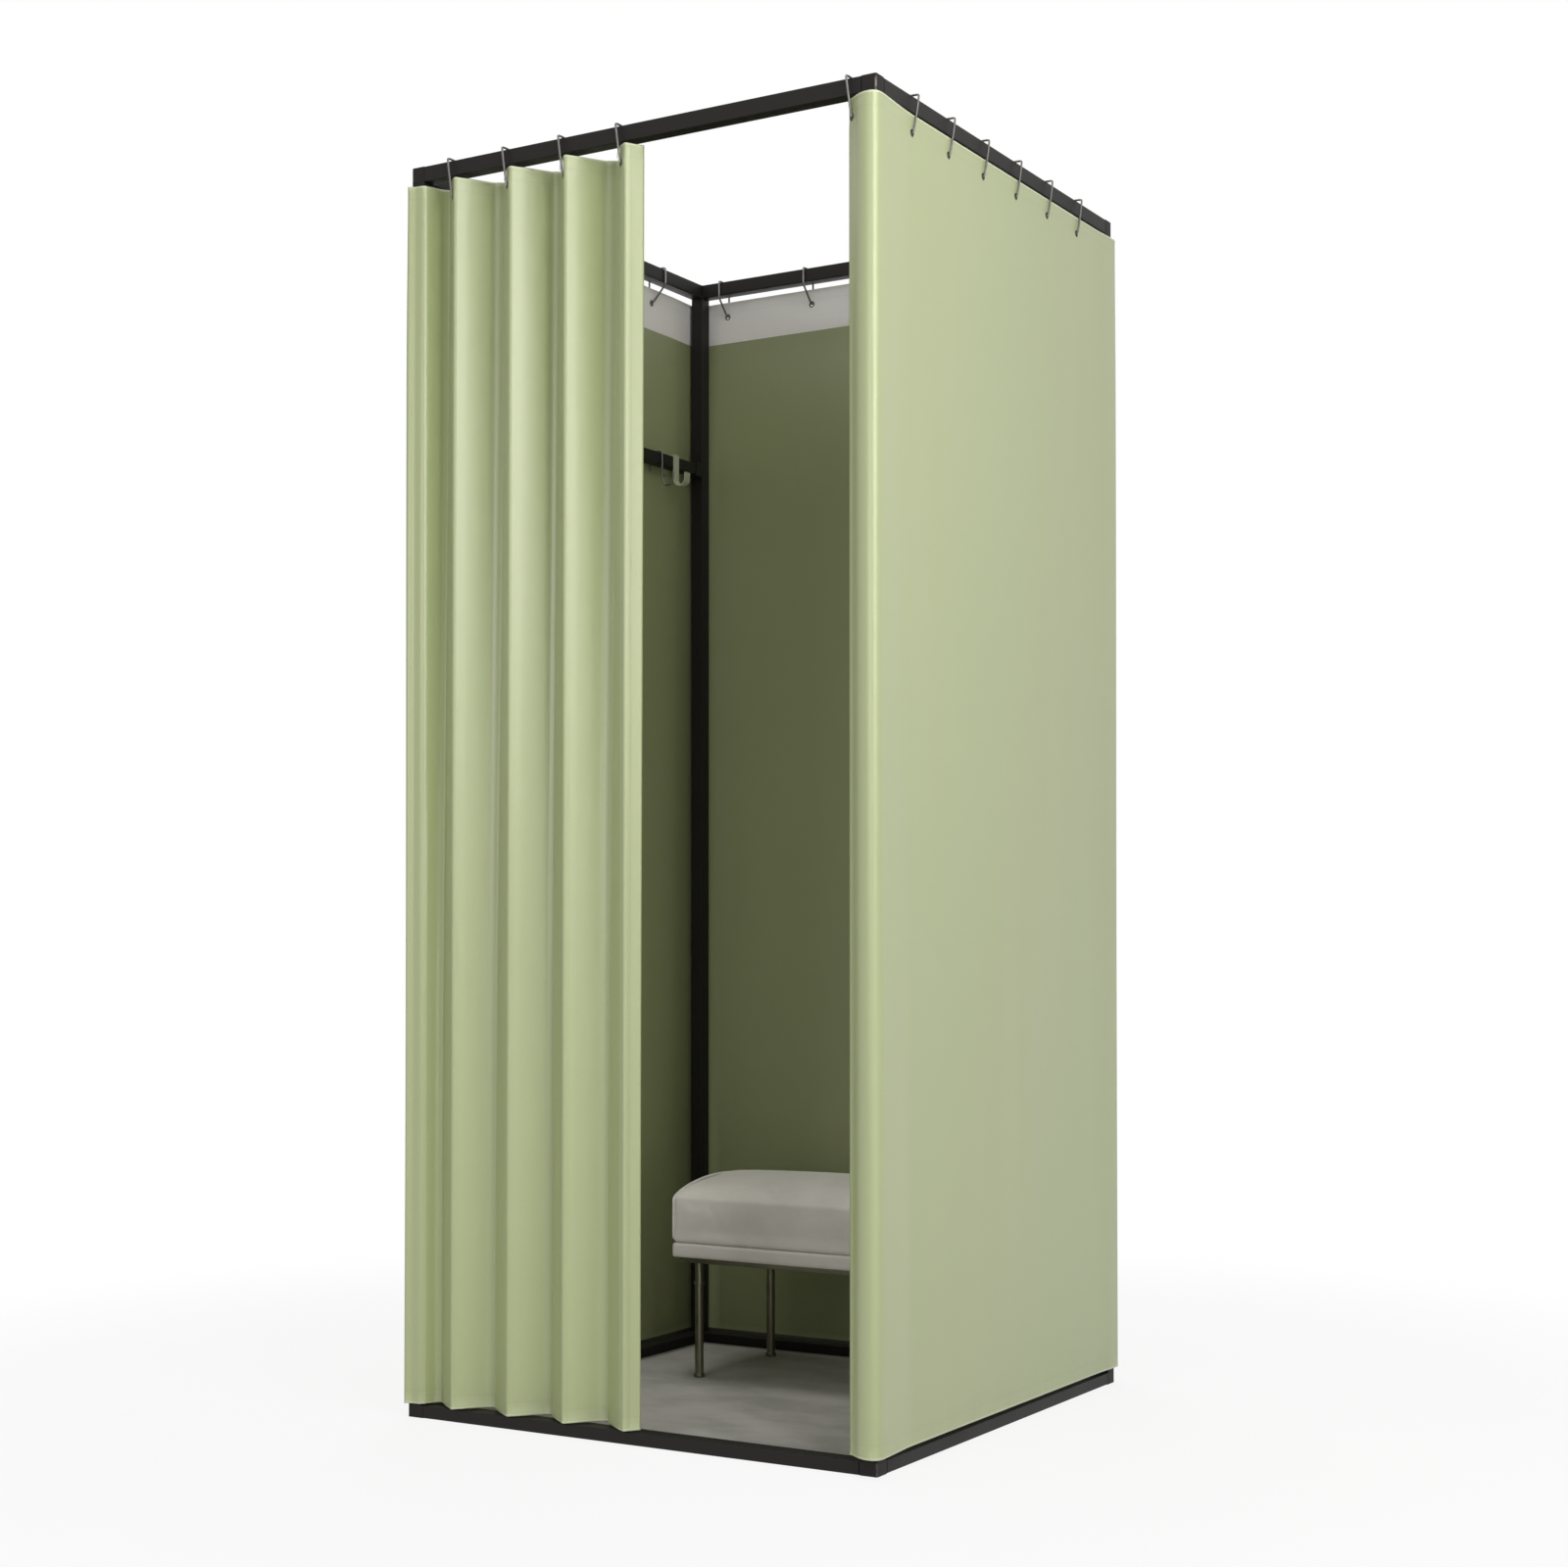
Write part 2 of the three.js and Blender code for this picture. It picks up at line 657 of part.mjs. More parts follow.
function loft(rings, crownHeight) {
  const positions = [];
  const faces = [];
  const size = rings[0].length;
  rings.forEach((ring) => ring.forEach((point) => positions.push(point.x, point.y, point.z)));
  for (let i = 0; i < rings.length - 1; i += 1) {
    for (let j = 0; j < size; j += 1) {
      const a = i * size + j;
      const b = i * size + ((j + 1) % size);
      faces.push(a, b, a + size, b, b + size, a + size);
    }
  }
  const bottom = positions.length / 3;
  positions.push(0, 0, rings[0][0].z);
  positions.push(0, 0, crownHeight);
  const topStart = (rings.length - 1) * size;
  for (let j = 0; j < size; j += 1) {
    const next = (j + 1) % size;
    faces.push(bottom, next, j, bottom + 1, topStart + j, topStart + next);
  }
  const geometry = new THREE.BufferGeometry();
  geometry.setAttribute('position', new THREE.Float32BufferAttribute(positions, 3));
  geometry.setIndex(faces);
  geometry.computeVertexNormals();
  return geometry;
}

function cushionRing(width, depth, radius, height) {
  const outline = drawRoundedRectangle(new THREE.Shape(), width, depth, radius);
  const points = outline.getPoints(curveSteps);
  points.pop();
  return points.map((point) => new THREE.Vector3(point.x, point.y, height));
}

// The cushion's sides draw in at the seam and at the top roll, and its top rises to a crown.
function seatCushion() {
  const bottom = benchUnderside + boardThickness + seatGap;
  const rings = cushionSideShares.map(([up, inset]) => cushionRing(
    benchLength - 2 * inset * cushionInset, benchDepth - 2 * inset * cushionInset,
    cushionCornerRadius, bottom + up * cushionHeight,
  ));
  for (const share of crownShares) {
    const rise = cushionCrown * (1 - share ** crownPower);
    const width = (benchLength - 4 * cushionInset) * share;
    const depth = (benchDepth - 4 * cushionInset) * share;
    rings.push(cushionRing(width, depth, cushionCornerRadius * share, bottom + cushionHeight + rise));
  }
  return loft(rings, bottom + cushionHeight + cushionCrown);
}

addPiece('bench_cushion', seatCushion(), finishes.upholstery, bench);

const board = addPiece('bench_seat_board', roundedBar(
  benchLength - 2 * seatGap, benchDepth - 2 * seatGap, cushionCornerRadius, boardThickness,
), finishes.upholstery, bench);
board.position.z = benchUnderside;

const rimLength = benchLength - 2 * rimInset;
const rimDepth = benchDepth - 2 * rimInset;
const rimSection = drawRoundedRectangle(new THREE.Shape(), rimLength, rimDepth, cushionCornerRadius);
rimSection.holes.push(drawRoundedRectangle(
  new THREE.Path(), rimLength - 2 * rimWidth, rimDepth - 2 * rimWidth, rimCornerRadius,
));
const rim = addPiece('bench_rim', new THREE.ExtrudeGeometry(rimSection, {
  depth: rimThickness, bevelEnabled: false, curveSegments: curveSteps,
}), finishes.legMetal, bench);
rim.position.z = benchUnderside - seatGap - rimThickness;

// A leg is turned: a flared foot, a slim tube, a collar near the top and a fixing flange.
function turnedLeg() {
  const top = benchUnderside - 2 * seatGap - rimThickness;
  const bottom = matTop + seatGap;
  const collarTop = top - legCollarDrop;
  const profile = [
    [0, bottom],
    [legFootDiameter / 2, bottom],
    [legFootDiameter / 2, bottom + legFootHeight],
    [legDiameter / 2, bottom + legFootHeight],
    [legDiameter / 2, collarTop - legCollarHeight],
    [legCollarDiameter / 2, collarTop - legCollarHeight],
    [legCollarDiameter / 2, collarTop],
    [legDiameter / 2, collarTop],
    [legDiameter / 2, top - legFlangeHeight],
    [legFlangeDiameter / 2, top - legFlangeHeight],
    [legFlangeDiameter / 2, top],
    [0, top],
  ];
  const points = profile.map(([x, y]) => new THREE.Vector2(x, y));
  return new THREE.LatheGeometry(points, legSides).rotateX(Math.PI / 2);
}

const legX = benchLength / 2 - legInset;
const legY = benchDepth / 2 - legInset;
for (const [name, x, y] of [
  ['front_left', -legX, -legY], ['front_right', legX, -legY],
  ['back_right', legX, legY], ['back_left', -legX, legY],
]) {
  const leg = addPiece(`bench_leg_${name}`, turnedLeg(), finishes.legMetal, bench);
  leg.position.set(x, y, 0);
}

export default fittingRoom;
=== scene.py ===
"""Portable fitting room: pale green curtains on wire rings round a black-brown tube frame.

The tube frame, rings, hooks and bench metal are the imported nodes, with their
finishes put on here. The curtains, their eyelets, the floor mat and the
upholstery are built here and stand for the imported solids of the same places.
Sizes are in metres, +Z is up and the doorway faces -Y.
"""

import logging
import math
from bisect import bisect_right
from collections.abc import Callable, Iterable, Mapping, Sequence
from dataclasses import dataclass, field
from enum import Enum
from typing import Any

import bmesh
import bpy
from bpy.types import Material, Mesh, Object
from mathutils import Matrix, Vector


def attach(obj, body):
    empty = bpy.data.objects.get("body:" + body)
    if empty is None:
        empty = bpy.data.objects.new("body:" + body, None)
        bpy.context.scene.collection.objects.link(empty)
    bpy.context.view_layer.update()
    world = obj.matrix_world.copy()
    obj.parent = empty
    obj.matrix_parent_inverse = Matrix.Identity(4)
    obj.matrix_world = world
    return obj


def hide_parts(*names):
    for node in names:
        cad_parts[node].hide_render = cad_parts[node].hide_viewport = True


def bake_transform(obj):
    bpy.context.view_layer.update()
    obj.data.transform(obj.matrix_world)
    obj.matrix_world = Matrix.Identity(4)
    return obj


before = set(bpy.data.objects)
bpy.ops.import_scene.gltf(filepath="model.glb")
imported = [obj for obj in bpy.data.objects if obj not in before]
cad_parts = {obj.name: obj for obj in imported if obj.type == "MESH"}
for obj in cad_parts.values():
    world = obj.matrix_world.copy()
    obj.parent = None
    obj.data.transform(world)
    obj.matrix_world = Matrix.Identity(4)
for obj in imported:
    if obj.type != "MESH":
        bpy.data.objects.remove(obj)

LOG = logging.getLogger("fitting_room")

Colour = tuple[float, float, float, float]
Point = tuple[float, float]
Point3 = tuple[float, float, float]
Operand = "Value | float"
Face = tuple[int, tuple[int, ...], int]

CLOTH_BOTTOM, CLOTH_TOP, HEADER_BOTTOM = 0.028, 1.968, 1.890
MAT_HALF_SIDE = 0.3945


# Shader kit


def srgb(red: int, green: int, blue: int) -> Colour:
    """Turn a colour in steps of 0 to 255 into a shader's linear values and full alpha."""
    shares = (step / 255 for step in (red, green, blue))
    return (*(
        share / 12.92 if share <= 0.04045 else ((share + 0.055) / 1.055) ** 2.4
        for share in shares
    ), 1.0)


def math_method(operation: str, is_swapped: bool = False) -> Callable[..., "Value"]:
    """Make a method of Value that adds one Math node.

    Args:
        operation: The node's operation.
        is_swapped: True where the value itself is the last operand.

    Returns:
        The method.
    """
    def method(self: "Value", *others: Operand) -> "Value":
        """Return the node's result for this value and the others."""
        operands = dict(enumerate((*others, self) if is_swapped else (self, *others)))
        return self.graph.node("ShaderNodeMath", {"operation": operation}, operands)

    return method


class Value:
    """An output socket on which Python's operators build Math nodes."""

    def __init__(self, graph: "ShaderGraph", socket: bpy.types.NodeSocket) -> None:
        """Wrap an output socket of the graph that new nodes go into."""
        self.graph = graph
        self.socket = socket

    __add__ = __radd__ = math_method("ADD")
    __sub__ = math_method("SUBTRACT")
    __rsub__ = math_method("SUBTRACT", is_swapped=True)
    __mul__ = __rmul__ = math_method("MULTIPLY")
    __abs__ = math_method("ABSOLUTE")
    sine = math_method("SINE")
    fraction = math_method("FRACT")
    least = math_method("MINIMUM")
    most = math_method("MAXIMUM")
    below = math_method("LESS_THAN")

    def ramp(self, start: float, end: float) -> "Value":
        """Rise smoothly from 0 at start to 1 at end, which may be the smaller one."""
        return self.graph.node(
            "ShaderNodeMapRange", {"interpolation_type": "SMOOTHSTEP"},
            {"Value": self, "From Min": start, "From Max": end},
        )


class ShaderGraph:
    """The node tree of one material or of the world."""

    def __init__(self, owner: bpy.types.ID) -> None:
        """Start an empty graph.

        Args:
            owner: The material or world that it belongs to.
        """
        owner.use_nodes = True
        self.owner = owner
        self.tree = owner.node_tree
        self.tree.nodes.clear()

    def node(
        self, kind: str, settings: Mapping[str, Any] | None = None,
        sockets: Mapping[str | int, Any] | None = None, output: str | int = 0,
    ) -> Value:
        """Add one node of any kind.

        Args:
            kind: The node's type.
            settings: Its settings, which are set first.
            sockets: Values or links of its inputs, by name or number.
            output: The output that is wanted.

        Returns:
            That output.
        """
        made = self.tree.nodes.new(kind)
        for name, setting in (settings or {}).items():
            setattr(made, name, setting)
        for name, given in (sockets or {}).items():
            if isinstance(given, Value):
                self.tree.links.new(given.socket, made.inputs[name])
            else:
                made.inputs[name].default_value = given
        return Value(self, made.outputs[output] if len(made.outputs) else None)

    def place(self, space: str = "Object") -> Value:
        """Return the coordinates of a space such as Object or UV."""
        return self.node("ShaderNodeTexCoord", output=space)

    def axis(self, place: Value, name: str) -> Value:
        """Return one of the X, Y and Z values of a place."""
        return self.node("ShaderNodeSeparateXYZ", None, {0: place}, name)

    def vector(self, operation: str, sockets: Mapping[str | int, Any]) -> Value:
        """Add one Vector Math node and return its result."""
        return self.node("ShaderNodeVectorMath", {"operation": operation}, sockets)

    def noise(
        self, place: Value, scale: float | Point3, detail: float = 3.0, rough: float = 0.55,
    ) -> Value:
        """Add a cloud pattern.

        Args:
            place: Where it is read.
            scale: Clouds to a metre, about, in all directions or along X, Y and Z.
            detail: Layers of finer clouds.
            rough: How strong the finer layers are.

        Returns:
            The pattern, from 0 to 1.
        """
        if not isinstance(scale, float):
            place, scale = self.vector("MULTIPLY", {0: place, 1: scale}), 1.0
        return self.node("ShaderNodeTexNoise", None, {
            "Vector": place, "Scale": scale, "Detail": detail, "Roughness": rough,
        })

    def mix(self, first: Value | Colour, second: Value | Colour, share: Operand) -> Value:
        """Mix two colours, with the share of the second one given."""
        sockets = {0: share, 6: first, 7: second}
        return self.node("ShaderNodeMix", {"data_type": "RGBA"}, sockets, 2)

    def shade(self, colour: Value | Colour, shares: Value) -> Value:
        """Multiply a colour by a grey pattern round 1."""
        plain = colour if isinstance(colour, Value) else colour[:3]
        return self.vector("SCALE", {0: plain, "Scale": shares})

    def bump(
        self, height: Value, depth: float, strength: float = 1.0, under: Value | None = None,
    ) -> Value:
        """Turn a height pattern into a normal, over the normal of a coarser bump where given."""
        sockets = {"Height": height, "Distance": depth, "Strength": strength}
        return self.node("ShaderNodeBump", None, sockets | ({"Normal": under} if under else {}))

    def surface(self, sockets: Mapping[str | int, Any]) -> Material:
        """Add a material's main shader and output.

        Args:
            sockets: Values and links of the shader.

        Returns:
            The finished material.
        """
        shader = self.node("ShaderNodeBsdfPrincipled", None, sockets)
        self.node("ShaderNodeOutputMaterial", None, {"Surface": shader})
        return self.owner


def new_graph(name: str) -> ShaderGraph:
    """Return the empty graph of a new material."""
    return ShaderGraph(bpy.data.materials.new(name))


# Finishes


@dataclass(frozen=True)
class PowderCoat:
    """Satin black-brown powder coat with fine orange peel and a few rub marks."""

    name: str = "powder_coat"
    colour: Colour = srgb(29, 27, 25)
    rub_and_highlight: Colour = srgb(74, 70, 65)

    def build(self) -> Material:
        """Return the material."""
        graph = new_graph(self.name)
        place = graph.place()
        cloud = graph.noise(place, 9.0)
        streak = graph.noise(place, (80.0, 80.0, 6.0), 5.0, 0.7)
        speck = graph.noise(place, 700.0, 1.0)
        rub = streak.ramp(0.64, 0.78) * 0.28
        return graph.surface({
            "Base Color": graph.mix(graph.shade(self.colour, 0.9 + cloud * 0.2), self.rub_and_highlight, rub),
            "Roughness": 0.5 + (cloud - 0.5) * 0.16 + (speck - 0.5) * 0.1 + rub * 0.2,
            "Normal": graph.bump(graph.noise(place, 520.0, 2.0), 0.00006, 0.6),
            "Specular IOR Level": 0.22,
        })


@dataclass(frozen=True)
class MouldedPlastic:
    """Matt black-brown moulded plastic with a pale painted highlight along its outer upright
    edges, stronger on the top connectors.
    """

    name: str = "connector"
    colour: Colour = srgb(29, 27, 25)
    # pale colour of the painted highlight on the connectors' outer upright edges
    rub_and_highlight: Colour = srgb(150, 147, 142)
    edge: float = 0.425
    edge_width: float = 0.0036
    upper_part: Point = (1.968, 1.980)

    def build(self) -> Material:
        """Return the material."""
        graph = new_graph(self.name)
        place = graph.place()
        across = abs(graph.axis(place, "X")).least(abs(graph.axis(place, "Y")))
        grain = graph.noise(place, 900.0, 2.0)
        wander = graph.noise(place, 110.0)
        # painted highlight: a pale band where a lit rounded upright edge would shine, stronger
        # near the top
        wear_and_highlight_share = across.ramp(self.edge - self.edge_width, self.edge - self.edge_width * 0.25)
        high = graph.axis(place, "Z").ramp(*self.upper_part)
        wear_and_highlight_share = wear_and_highlight_share * (0.25 + high * 0.6) * wander.ramp(0.3, 0.6)
        plain = graph.shade(self.colour, 0.92 + wander * 0.16)
        return graph.surface({
            "Base Color": graph.mix(plain, self.rub_and_highlight, wear_and_highlight_share),
            "Roughness": 0.55 + (grain - 0.5) * 0.2 - wear_and_highlight_share * 0.12,
            "Normal": graph.bump(grain, 0.00008, 0.5), "Specular IOR Level": 0.22,
        })


class ClothFace(Enum):
    """The two faces of the curtain cloth."""

    OUTER = "outer"
    INNER = "inner"


@dataclass(frozen=True)
class CurtainCloth:
    """Smooth pale green blackout cloth with stitched hems, a header band, a pale painted highlight
    along the outer top and bottom edges and a dark painted shade along the inner bottom edge.
    """

    face: ClothFace
    outer: Colour = srgb(182, 191, 140)
    inner: Colour = srgb(148, 154, 112)
    # pale colour of the painted highlight along the outer face's top and bottom edges
    edge_highlight: Colour = srgb(214, 221, 182)
    header: Colour = srgb(242, 238, 233)
    # dark colour of the painted shade along the inner face's bottom edge
    painted_hem_shade: Colour = srgb(40, 38, 32)
    painted_hem_shade_height: float = 0.0102
    dust: Colour = srgb(120, 118, 100)
    hem: float = 0.021
    edge_highlight_width: float = 0.0034
    stitch_pitch: float = 0.0036
    thread_pitch: float = 0.0007
    blur: float = 0.0004
    edge_highlight_blur: float = 0.0006
    header_stitch: float = 0.004
    soiled: Point = (0.11, 0.03)
    puckered: Point = (0.06, 0.015)

    def stitches(self, along: Value, across: Value, line: float) -> Value:
        """Return 1 on the thread of a dashed row of stitches that lies where across is line."""
        near = 1 - abs(across - line).ramp(0.0003, 0.0006)
        return near * (along * (1 / self.stitch_pitch)).fraction().below(0.68)

    def build(self) -> Material:
        """Return the material of this face."""
        graph = new_graph(f"curtain_cloth_{self.face.value}")
        place = graph.place("UV")
        along, height = graph.axis(place, "X"), graph.axis(place, "Y")
        cloud = graph.noise(place, 2.2, 2.0)
        slub = graph.noise(place, (420.0, 26.0, 1.0), 3.0, 0.6)
        warp, weft = ((way * (math.tau / self.thread_pitch)).sine() for way in (along, height))
        weave = 0.5 + warp * weft * 0.5
        rows = self.stitches(along, height, CLOTH_BOTTOM + self.hem)
        rows = rows.most(self.stitches(along, height, CLOTH_TOP - self.hem))
        rows = rows.most(self.stitches(height, abs(along), self.hem))
        tone = 0.965 + cloud * 0.04 + slub * 0.035 + weave * 0.012
        if self.face is ClothFace.INNER:
            band = height.ramp(HEADER_BOTTOM - self.blur, HEADER_BOTTOM + self.blur)
            rows = rows.most(self.stitches(along, height, HEADER_BOTTOM + self.header_stitch))
            header = graph.shade(self.header, 0.97 + slub * 0.06)
            # painted shade: the inner face darkened along its lowest 10 mm, just above the base
            # rail
            hem_shade_share = CLOTH_BOTTOM + self.painted_hem_shade_height
            hem_shade_share = height.ramp(hem_shade_share + self.blur, hem_shade_share - self.blur)
            colour = graph.mix(graph.shade(self.inner, tone), header, band)
            colour = graph.mix(colour, self.painted_hem_shade, hem_shade_share)
        else:
            # painted highlight: a pale band along the outer top and bottom edges, standing for the
            # rolled hem catching the light
            low, high = CLOTH_BOTTOM + self.edge_highlight_width, CLOTH_TOP - self.edge_highlight_width
            edge_band = height.ramp(low, low - self.edge_highlight_blur)
            edge_band = edge_band.most(height.ramp(high, high + self.edge_highlight_blur))
            colour = graph.mix(graph.shade(self.outer, tone), self.edge_highlight, edge_band * 0.9)
        soil = height.ramp(*self.soiled) * graph.noise(place, 14.0).ramp(0.4, 0.75) * 0.10
        colour = graph.shade(graph.mix(colour, self.dust, soil), 1 - rows * 0.12)
        near_hem = (height - CLOTH_BOTTOM).least(CLOTH_TOP - height).ramp(*self.puckered)
        pucker = graph.noise(place, (150.0, 12.0, 1.0), 2.0) * near_hem
        soft = graph.bump(graph.noise(place, (5.0, 1.6, 1.0), 2.0), 0.004, 0.35)
        puckered = graph.bump(pucker, 0.0005, 0.5, soft)
        return graph.surface({
            "Base Color": colour, "Roughness": 0.28 + (slub - 0.5) * 0.03 + cloud * 0.03,
            "Normal": graph.bump(weave * 0.5 + slub * 0.5 - rows * 2.0, 0.00012, 0.55, puckered),
            "Sheen Weight": 0.06, "Sheen Roughness": 0.3, "Sheen Tint": (0.96, 0.96, 0.93, 1.0),
            "Specular IOR Level": 0.95,
        })


@dataclass(frozen=True)
class Metal:
    """Bare metal with a tone that clouds and with fine marks of drawing, turning or pressing."""

    name: str
    colour: Colour
    metallic: float
    clouds: tuple[float, float]
    marks: tuple[Point3, float]
    tone: tuple[float, float]
    roughness: Point3
    relief: float

    def build(self) -> Material:
        """Return the material."""
        graph = new_graph(self.name)
        place = graph.place()
        cloud, marks = graph.noise(place, *self.clouds), graph.noise(place, *self.marks)
        rough, by_cloud, by_marks = self.roughness
        return graph.surface({
            "Base Color": graph.shade(self.colour, self.tone[0] + cloud * self.tone[1]),
            "Metallic": self.metallic,
            "Roughness": rough + cloud * by_cloud + (marks - 0.5) * by_marks,
            "Normal": graph.bump(marks, self.relief, 0.4),
        })


METALS = (
    Metal("ring_wire", srgb(120, 118, 113), 0.92, (35.0, 3.0), ((900.0, 900.0, 40.0), 3.0),
          (0.88, 0.18), (0.3, 0.1, 0.16), 0.00004),
    Metal("eyelet_metal", srgb(84, 82, 76), 0.9, (300.0, 3.0), ((300.0, 300.0, 300.0), 3.0),
          (0.7, 0.6), (0.3, 0.25, 0.0), 0.00008),
    Metal("leg_metal", srgb(134, 131, 112), 0.95, (40.0, 4.0), ((30.0, 30.0, 1400.0), 2.0),
          (0.8, 0.3), (0.24, 0.14, 0.12), 0.00003),
)


@dataclass(frozen=True)
class GreyPile:
    """Short grey pile of the floor mat, clouded by wear, with a darker sewn border."""

    name: str = "floor_mat"
    colour: Colour = srgb(178, 174, 167)
    trodden: Colour = srgb(152, 149, 143)
    border: Colour = srgb(118, 115, 109)
    border_width: float = 0.014
    rib_pitch: float = 0.0018

    def build(self) -> Material:
        """Return the material."""
        graph = new_graph(self.name)
        place = graph.place()
        across = abs(graph.axis(place, "X")).most(abs(graph.axis(place, "Y")))
        wear_and_highlight_share = graph.noise(place, (5.0, 8.0, 5.0), 4.0, 0.6).ramp(0.36, 0.68)
        tuft = graph.noise(place, 420.0, 2.0, 0.7)
        sewn = MAT_HALF_SIDE - self.border_width
        border = across.ramp(sewn - 0.0008, sewn)
        pile = graph.shade(graph.mix(self.colour, self.trodden, wear_and_highlight_share), 0.86 + tuft * 0.28)
        rib = (across * (math.tau / self.rib_pitch)).sine()
        height = tuft * (1 - border) + (0.5 + rib * 0.3) * border
        return graph.surface({
            "Base Color": graph.mix(pile, graph.shade(self.border, 0.95 + rib * 0.07), border),
            "Roughness": 0.9 + (tuft - 0.5) * 0.1,
            "Normal": graph.bump(height, 0.0011, 0.5), "Sheen Weight": 0.15,
        })


@dataclass(frozen=True)
class StrapPaint:
    """Pale grey-green paint on the bent strap hook, chipped in spots."""

    name: str = "strap"
    colour: Colour = srgb(178, 184, 158)
    bare: Colour = srgb(120, 120, 110)

    def build(self) -> Material:
        """Return the material."""
        graph = new_graph(self.name)
        place = graph.place()
        chips = graph.noise(place, 260.0, 4.0, 0.7).ramp(0.66, 0.74)
        cloud = graph.noise(place, 30.0)
        paint = graph.shade(self.colour, 0.93 + cloud * 0.12)
        return graph.surface({
            "Base Color": graph.mix(paint, self.bare, chips * 0.35),
            "Roughness": 0.4 + cloud * 0.12 + chips * 0.15,
            "Normal": graph.bump(graph.noise(place, 700.0, 2.0), 0.00005, 0.5),
        })


@dataclass(frozen=True)
class Upholstery:
    """Pale grey plain-woven upholstery with slubs and slight pilling."""

    name: str = "upholstery"
    colour: Colour = srgb(217, 212, 205)
    shadow: Colour = srgb(202, 197, 190)
    thread_pitch: float = 0.0012

    def build(self) -> Material:
        """Return the material."""
        graph = new_graph(self.name)
        place = graph.place()
        turns = math.tau / self.thread_pitch
        x, y, z = ((graph.axis(place, name) * turns).sine() for name in "XYZ")
        weave = 0.5 + (x * y + x * z + y * z) * 0.25
        slub = graph.noise(place, (40.0, 300.0, 300.0))
        cloud = graph.noise(place, 11.0)
        colour = graph.mix(self.colour, self.shadow, cloud.ramp(0.4, 0.72) * 0.6)
        soft = graph.bump(cloud, 0.002, 0.3)
        return graph.surface({
            "Base Color": graph.shade(colour, 0.9 + weave * 0.1 + slub * 0.08),
            "Roughness": 0.86 + (slub - 0.5) * 0.1,
            "Normal": graph.bump(weave * 0.7 + slub * 0.3, 0.0003, 0.5, soft),
            "Sheen Weight": 0.3, "Sheen Roughness": 0.5, "Sheen Tint": (0.9, 0.9, 0.9, 1.0),
        })


# Mesh helpers


def add_object(name: str, mesh: Mesh, *materials: Material) -> Object:
    """Put a mesh into the scene.

    Args:
        name: The piece's name.
        mesh: Its mesh.
        materials: Its materials, in slot order.

    Returns:
        The new object.
    """
    mesh.name = name
    for material in materials:
        mesh.materials.append(material)
    made = bpy.data.objects.new(name, mesh)
    bpy.context.scene.collection.objects.link(made)
    LOG.info("built %s with %d faces", name, len(mesh.polygons))
    return made


def skin(
    shape: bmesh.types.BMesh, rings: list[list[Vector]], is_looped: bool = False,
) -> bmesh.types.BMesh:
    """Skin rings of the same number of points.

    Args:
        shape: The shape to build in.
        rings: The rings, in order.
        is_looped: True where the last ring meets the first, and no ends are closed.

    Returns:
        The shape.
    """
    rows = [[shape.verts.new(point) for point in ring] for ring in rings]
    for low, high in zip(rows, rows[1:] + rows[:1] * is_looped):
        for here, (a, d) in enumerate(zip(low, high)):
            after = (here + 1) % len(low)
            shape.faces.new((a, low[after], high[after], d))
    if not is_looped:
        shape.faces.new(rows[0][::-1])
        shape.faces.new(rows[-1])
    return shape


def smooth(mesh: Mesh) -> Mesh:
    """Shade all of a mesh smoothly.

    Args:
        mesh: The mesh.

    Returns:
        The same mesh.
    """
    mesh.polygons.foreach_set("use_smooth", [True] * len(mesh.polygons))
    mesh.update()
    return mesh


def finished(shape: bmesh.types.BMesh, name: str) -> Mesh:
    """Turn a built shape into a smooth mesh that faces outward.

    Args:
        shape: The shape, which is used up.
        name: The mesh's name.

    Returns:
        The mesh.
    """
    bmesh.ops.recalc_face_normals(shape, faces=shape.faces)
    mesh = bpy.data.meshes.new(name)
    shape.to_mesh(mesh)
    shape.free()
    return smooth(mesh)


def loft(name: str, rings: list[list[Vector]]) -> Mesh:
    """Skin rings into one smooth mesh that is closed at both ends."""
    return finished(skin(bmesh.new(), rings), name)


def smooth_group() -> bpy.types.NodeTree:
    """Return the node group that shades a carried-over solid smoothly, made once."""
    known = bpy.data.node_groups.get("shade_smooth")
    if known:
        return known
    group = bpy.data.node_groups.new("shade_smooth", "GeometryNodeTree")
    for way in ("INPUT", "OUTPUT"):
        group.interface.new_socket("Geometry", in_out=way, socket_type="NodeSocketGeometry")
    start, shade, end = (group.nodes.new(kind) for kind in (
        "NodeGroupInput", "GeometryNodeSetShadeSmooth", "NodeGroupOutput",
    ))
    group.links.new(start.outputs[0], shade.inputs["Geometry"])
    group.links.new(shade.outputs[0], end.inputs[0])
    return group


def refine(piece: Object, width: float) -> None:
    """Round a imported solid's hard edges, or its few-sided wire, with modifiers alone.

    Args:
        piece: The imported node's object.
        width: The width of the rounding, or 0 for wire, which is subdivided.
    """
    piece.modifiers.new("weld", "WELD").merge_threshold = 0.00002
    if width:
        bevel = piece.modifiers.new("edge", "BEVEL")
        bevel.width, bevel.segments = width, 2
        bevel.limit_method, bevel.angle_limit = "ANGLE", math.radians(32)
    else:
        finer = piece.modifiers.new("finer", "SUBSURF")
        finer.levels = finer.render_levels = 2
    piece.modifiers.new("smooth", "NODES").node_group = smooth_group()
    if width:
        piece.modifiers.new("normals", "WEIGHTED_NORMAL").weight = 90


def share_between(value: float, start: float, end: float) -> float:
    """Rise smoothly from 0 to 1 between start and end, of which end may be the smaller one."""
    share = min(1.0, max(0.0, (value - start) / (end - start)))
    return share * share * (3 - 2 * share)


# Curtains


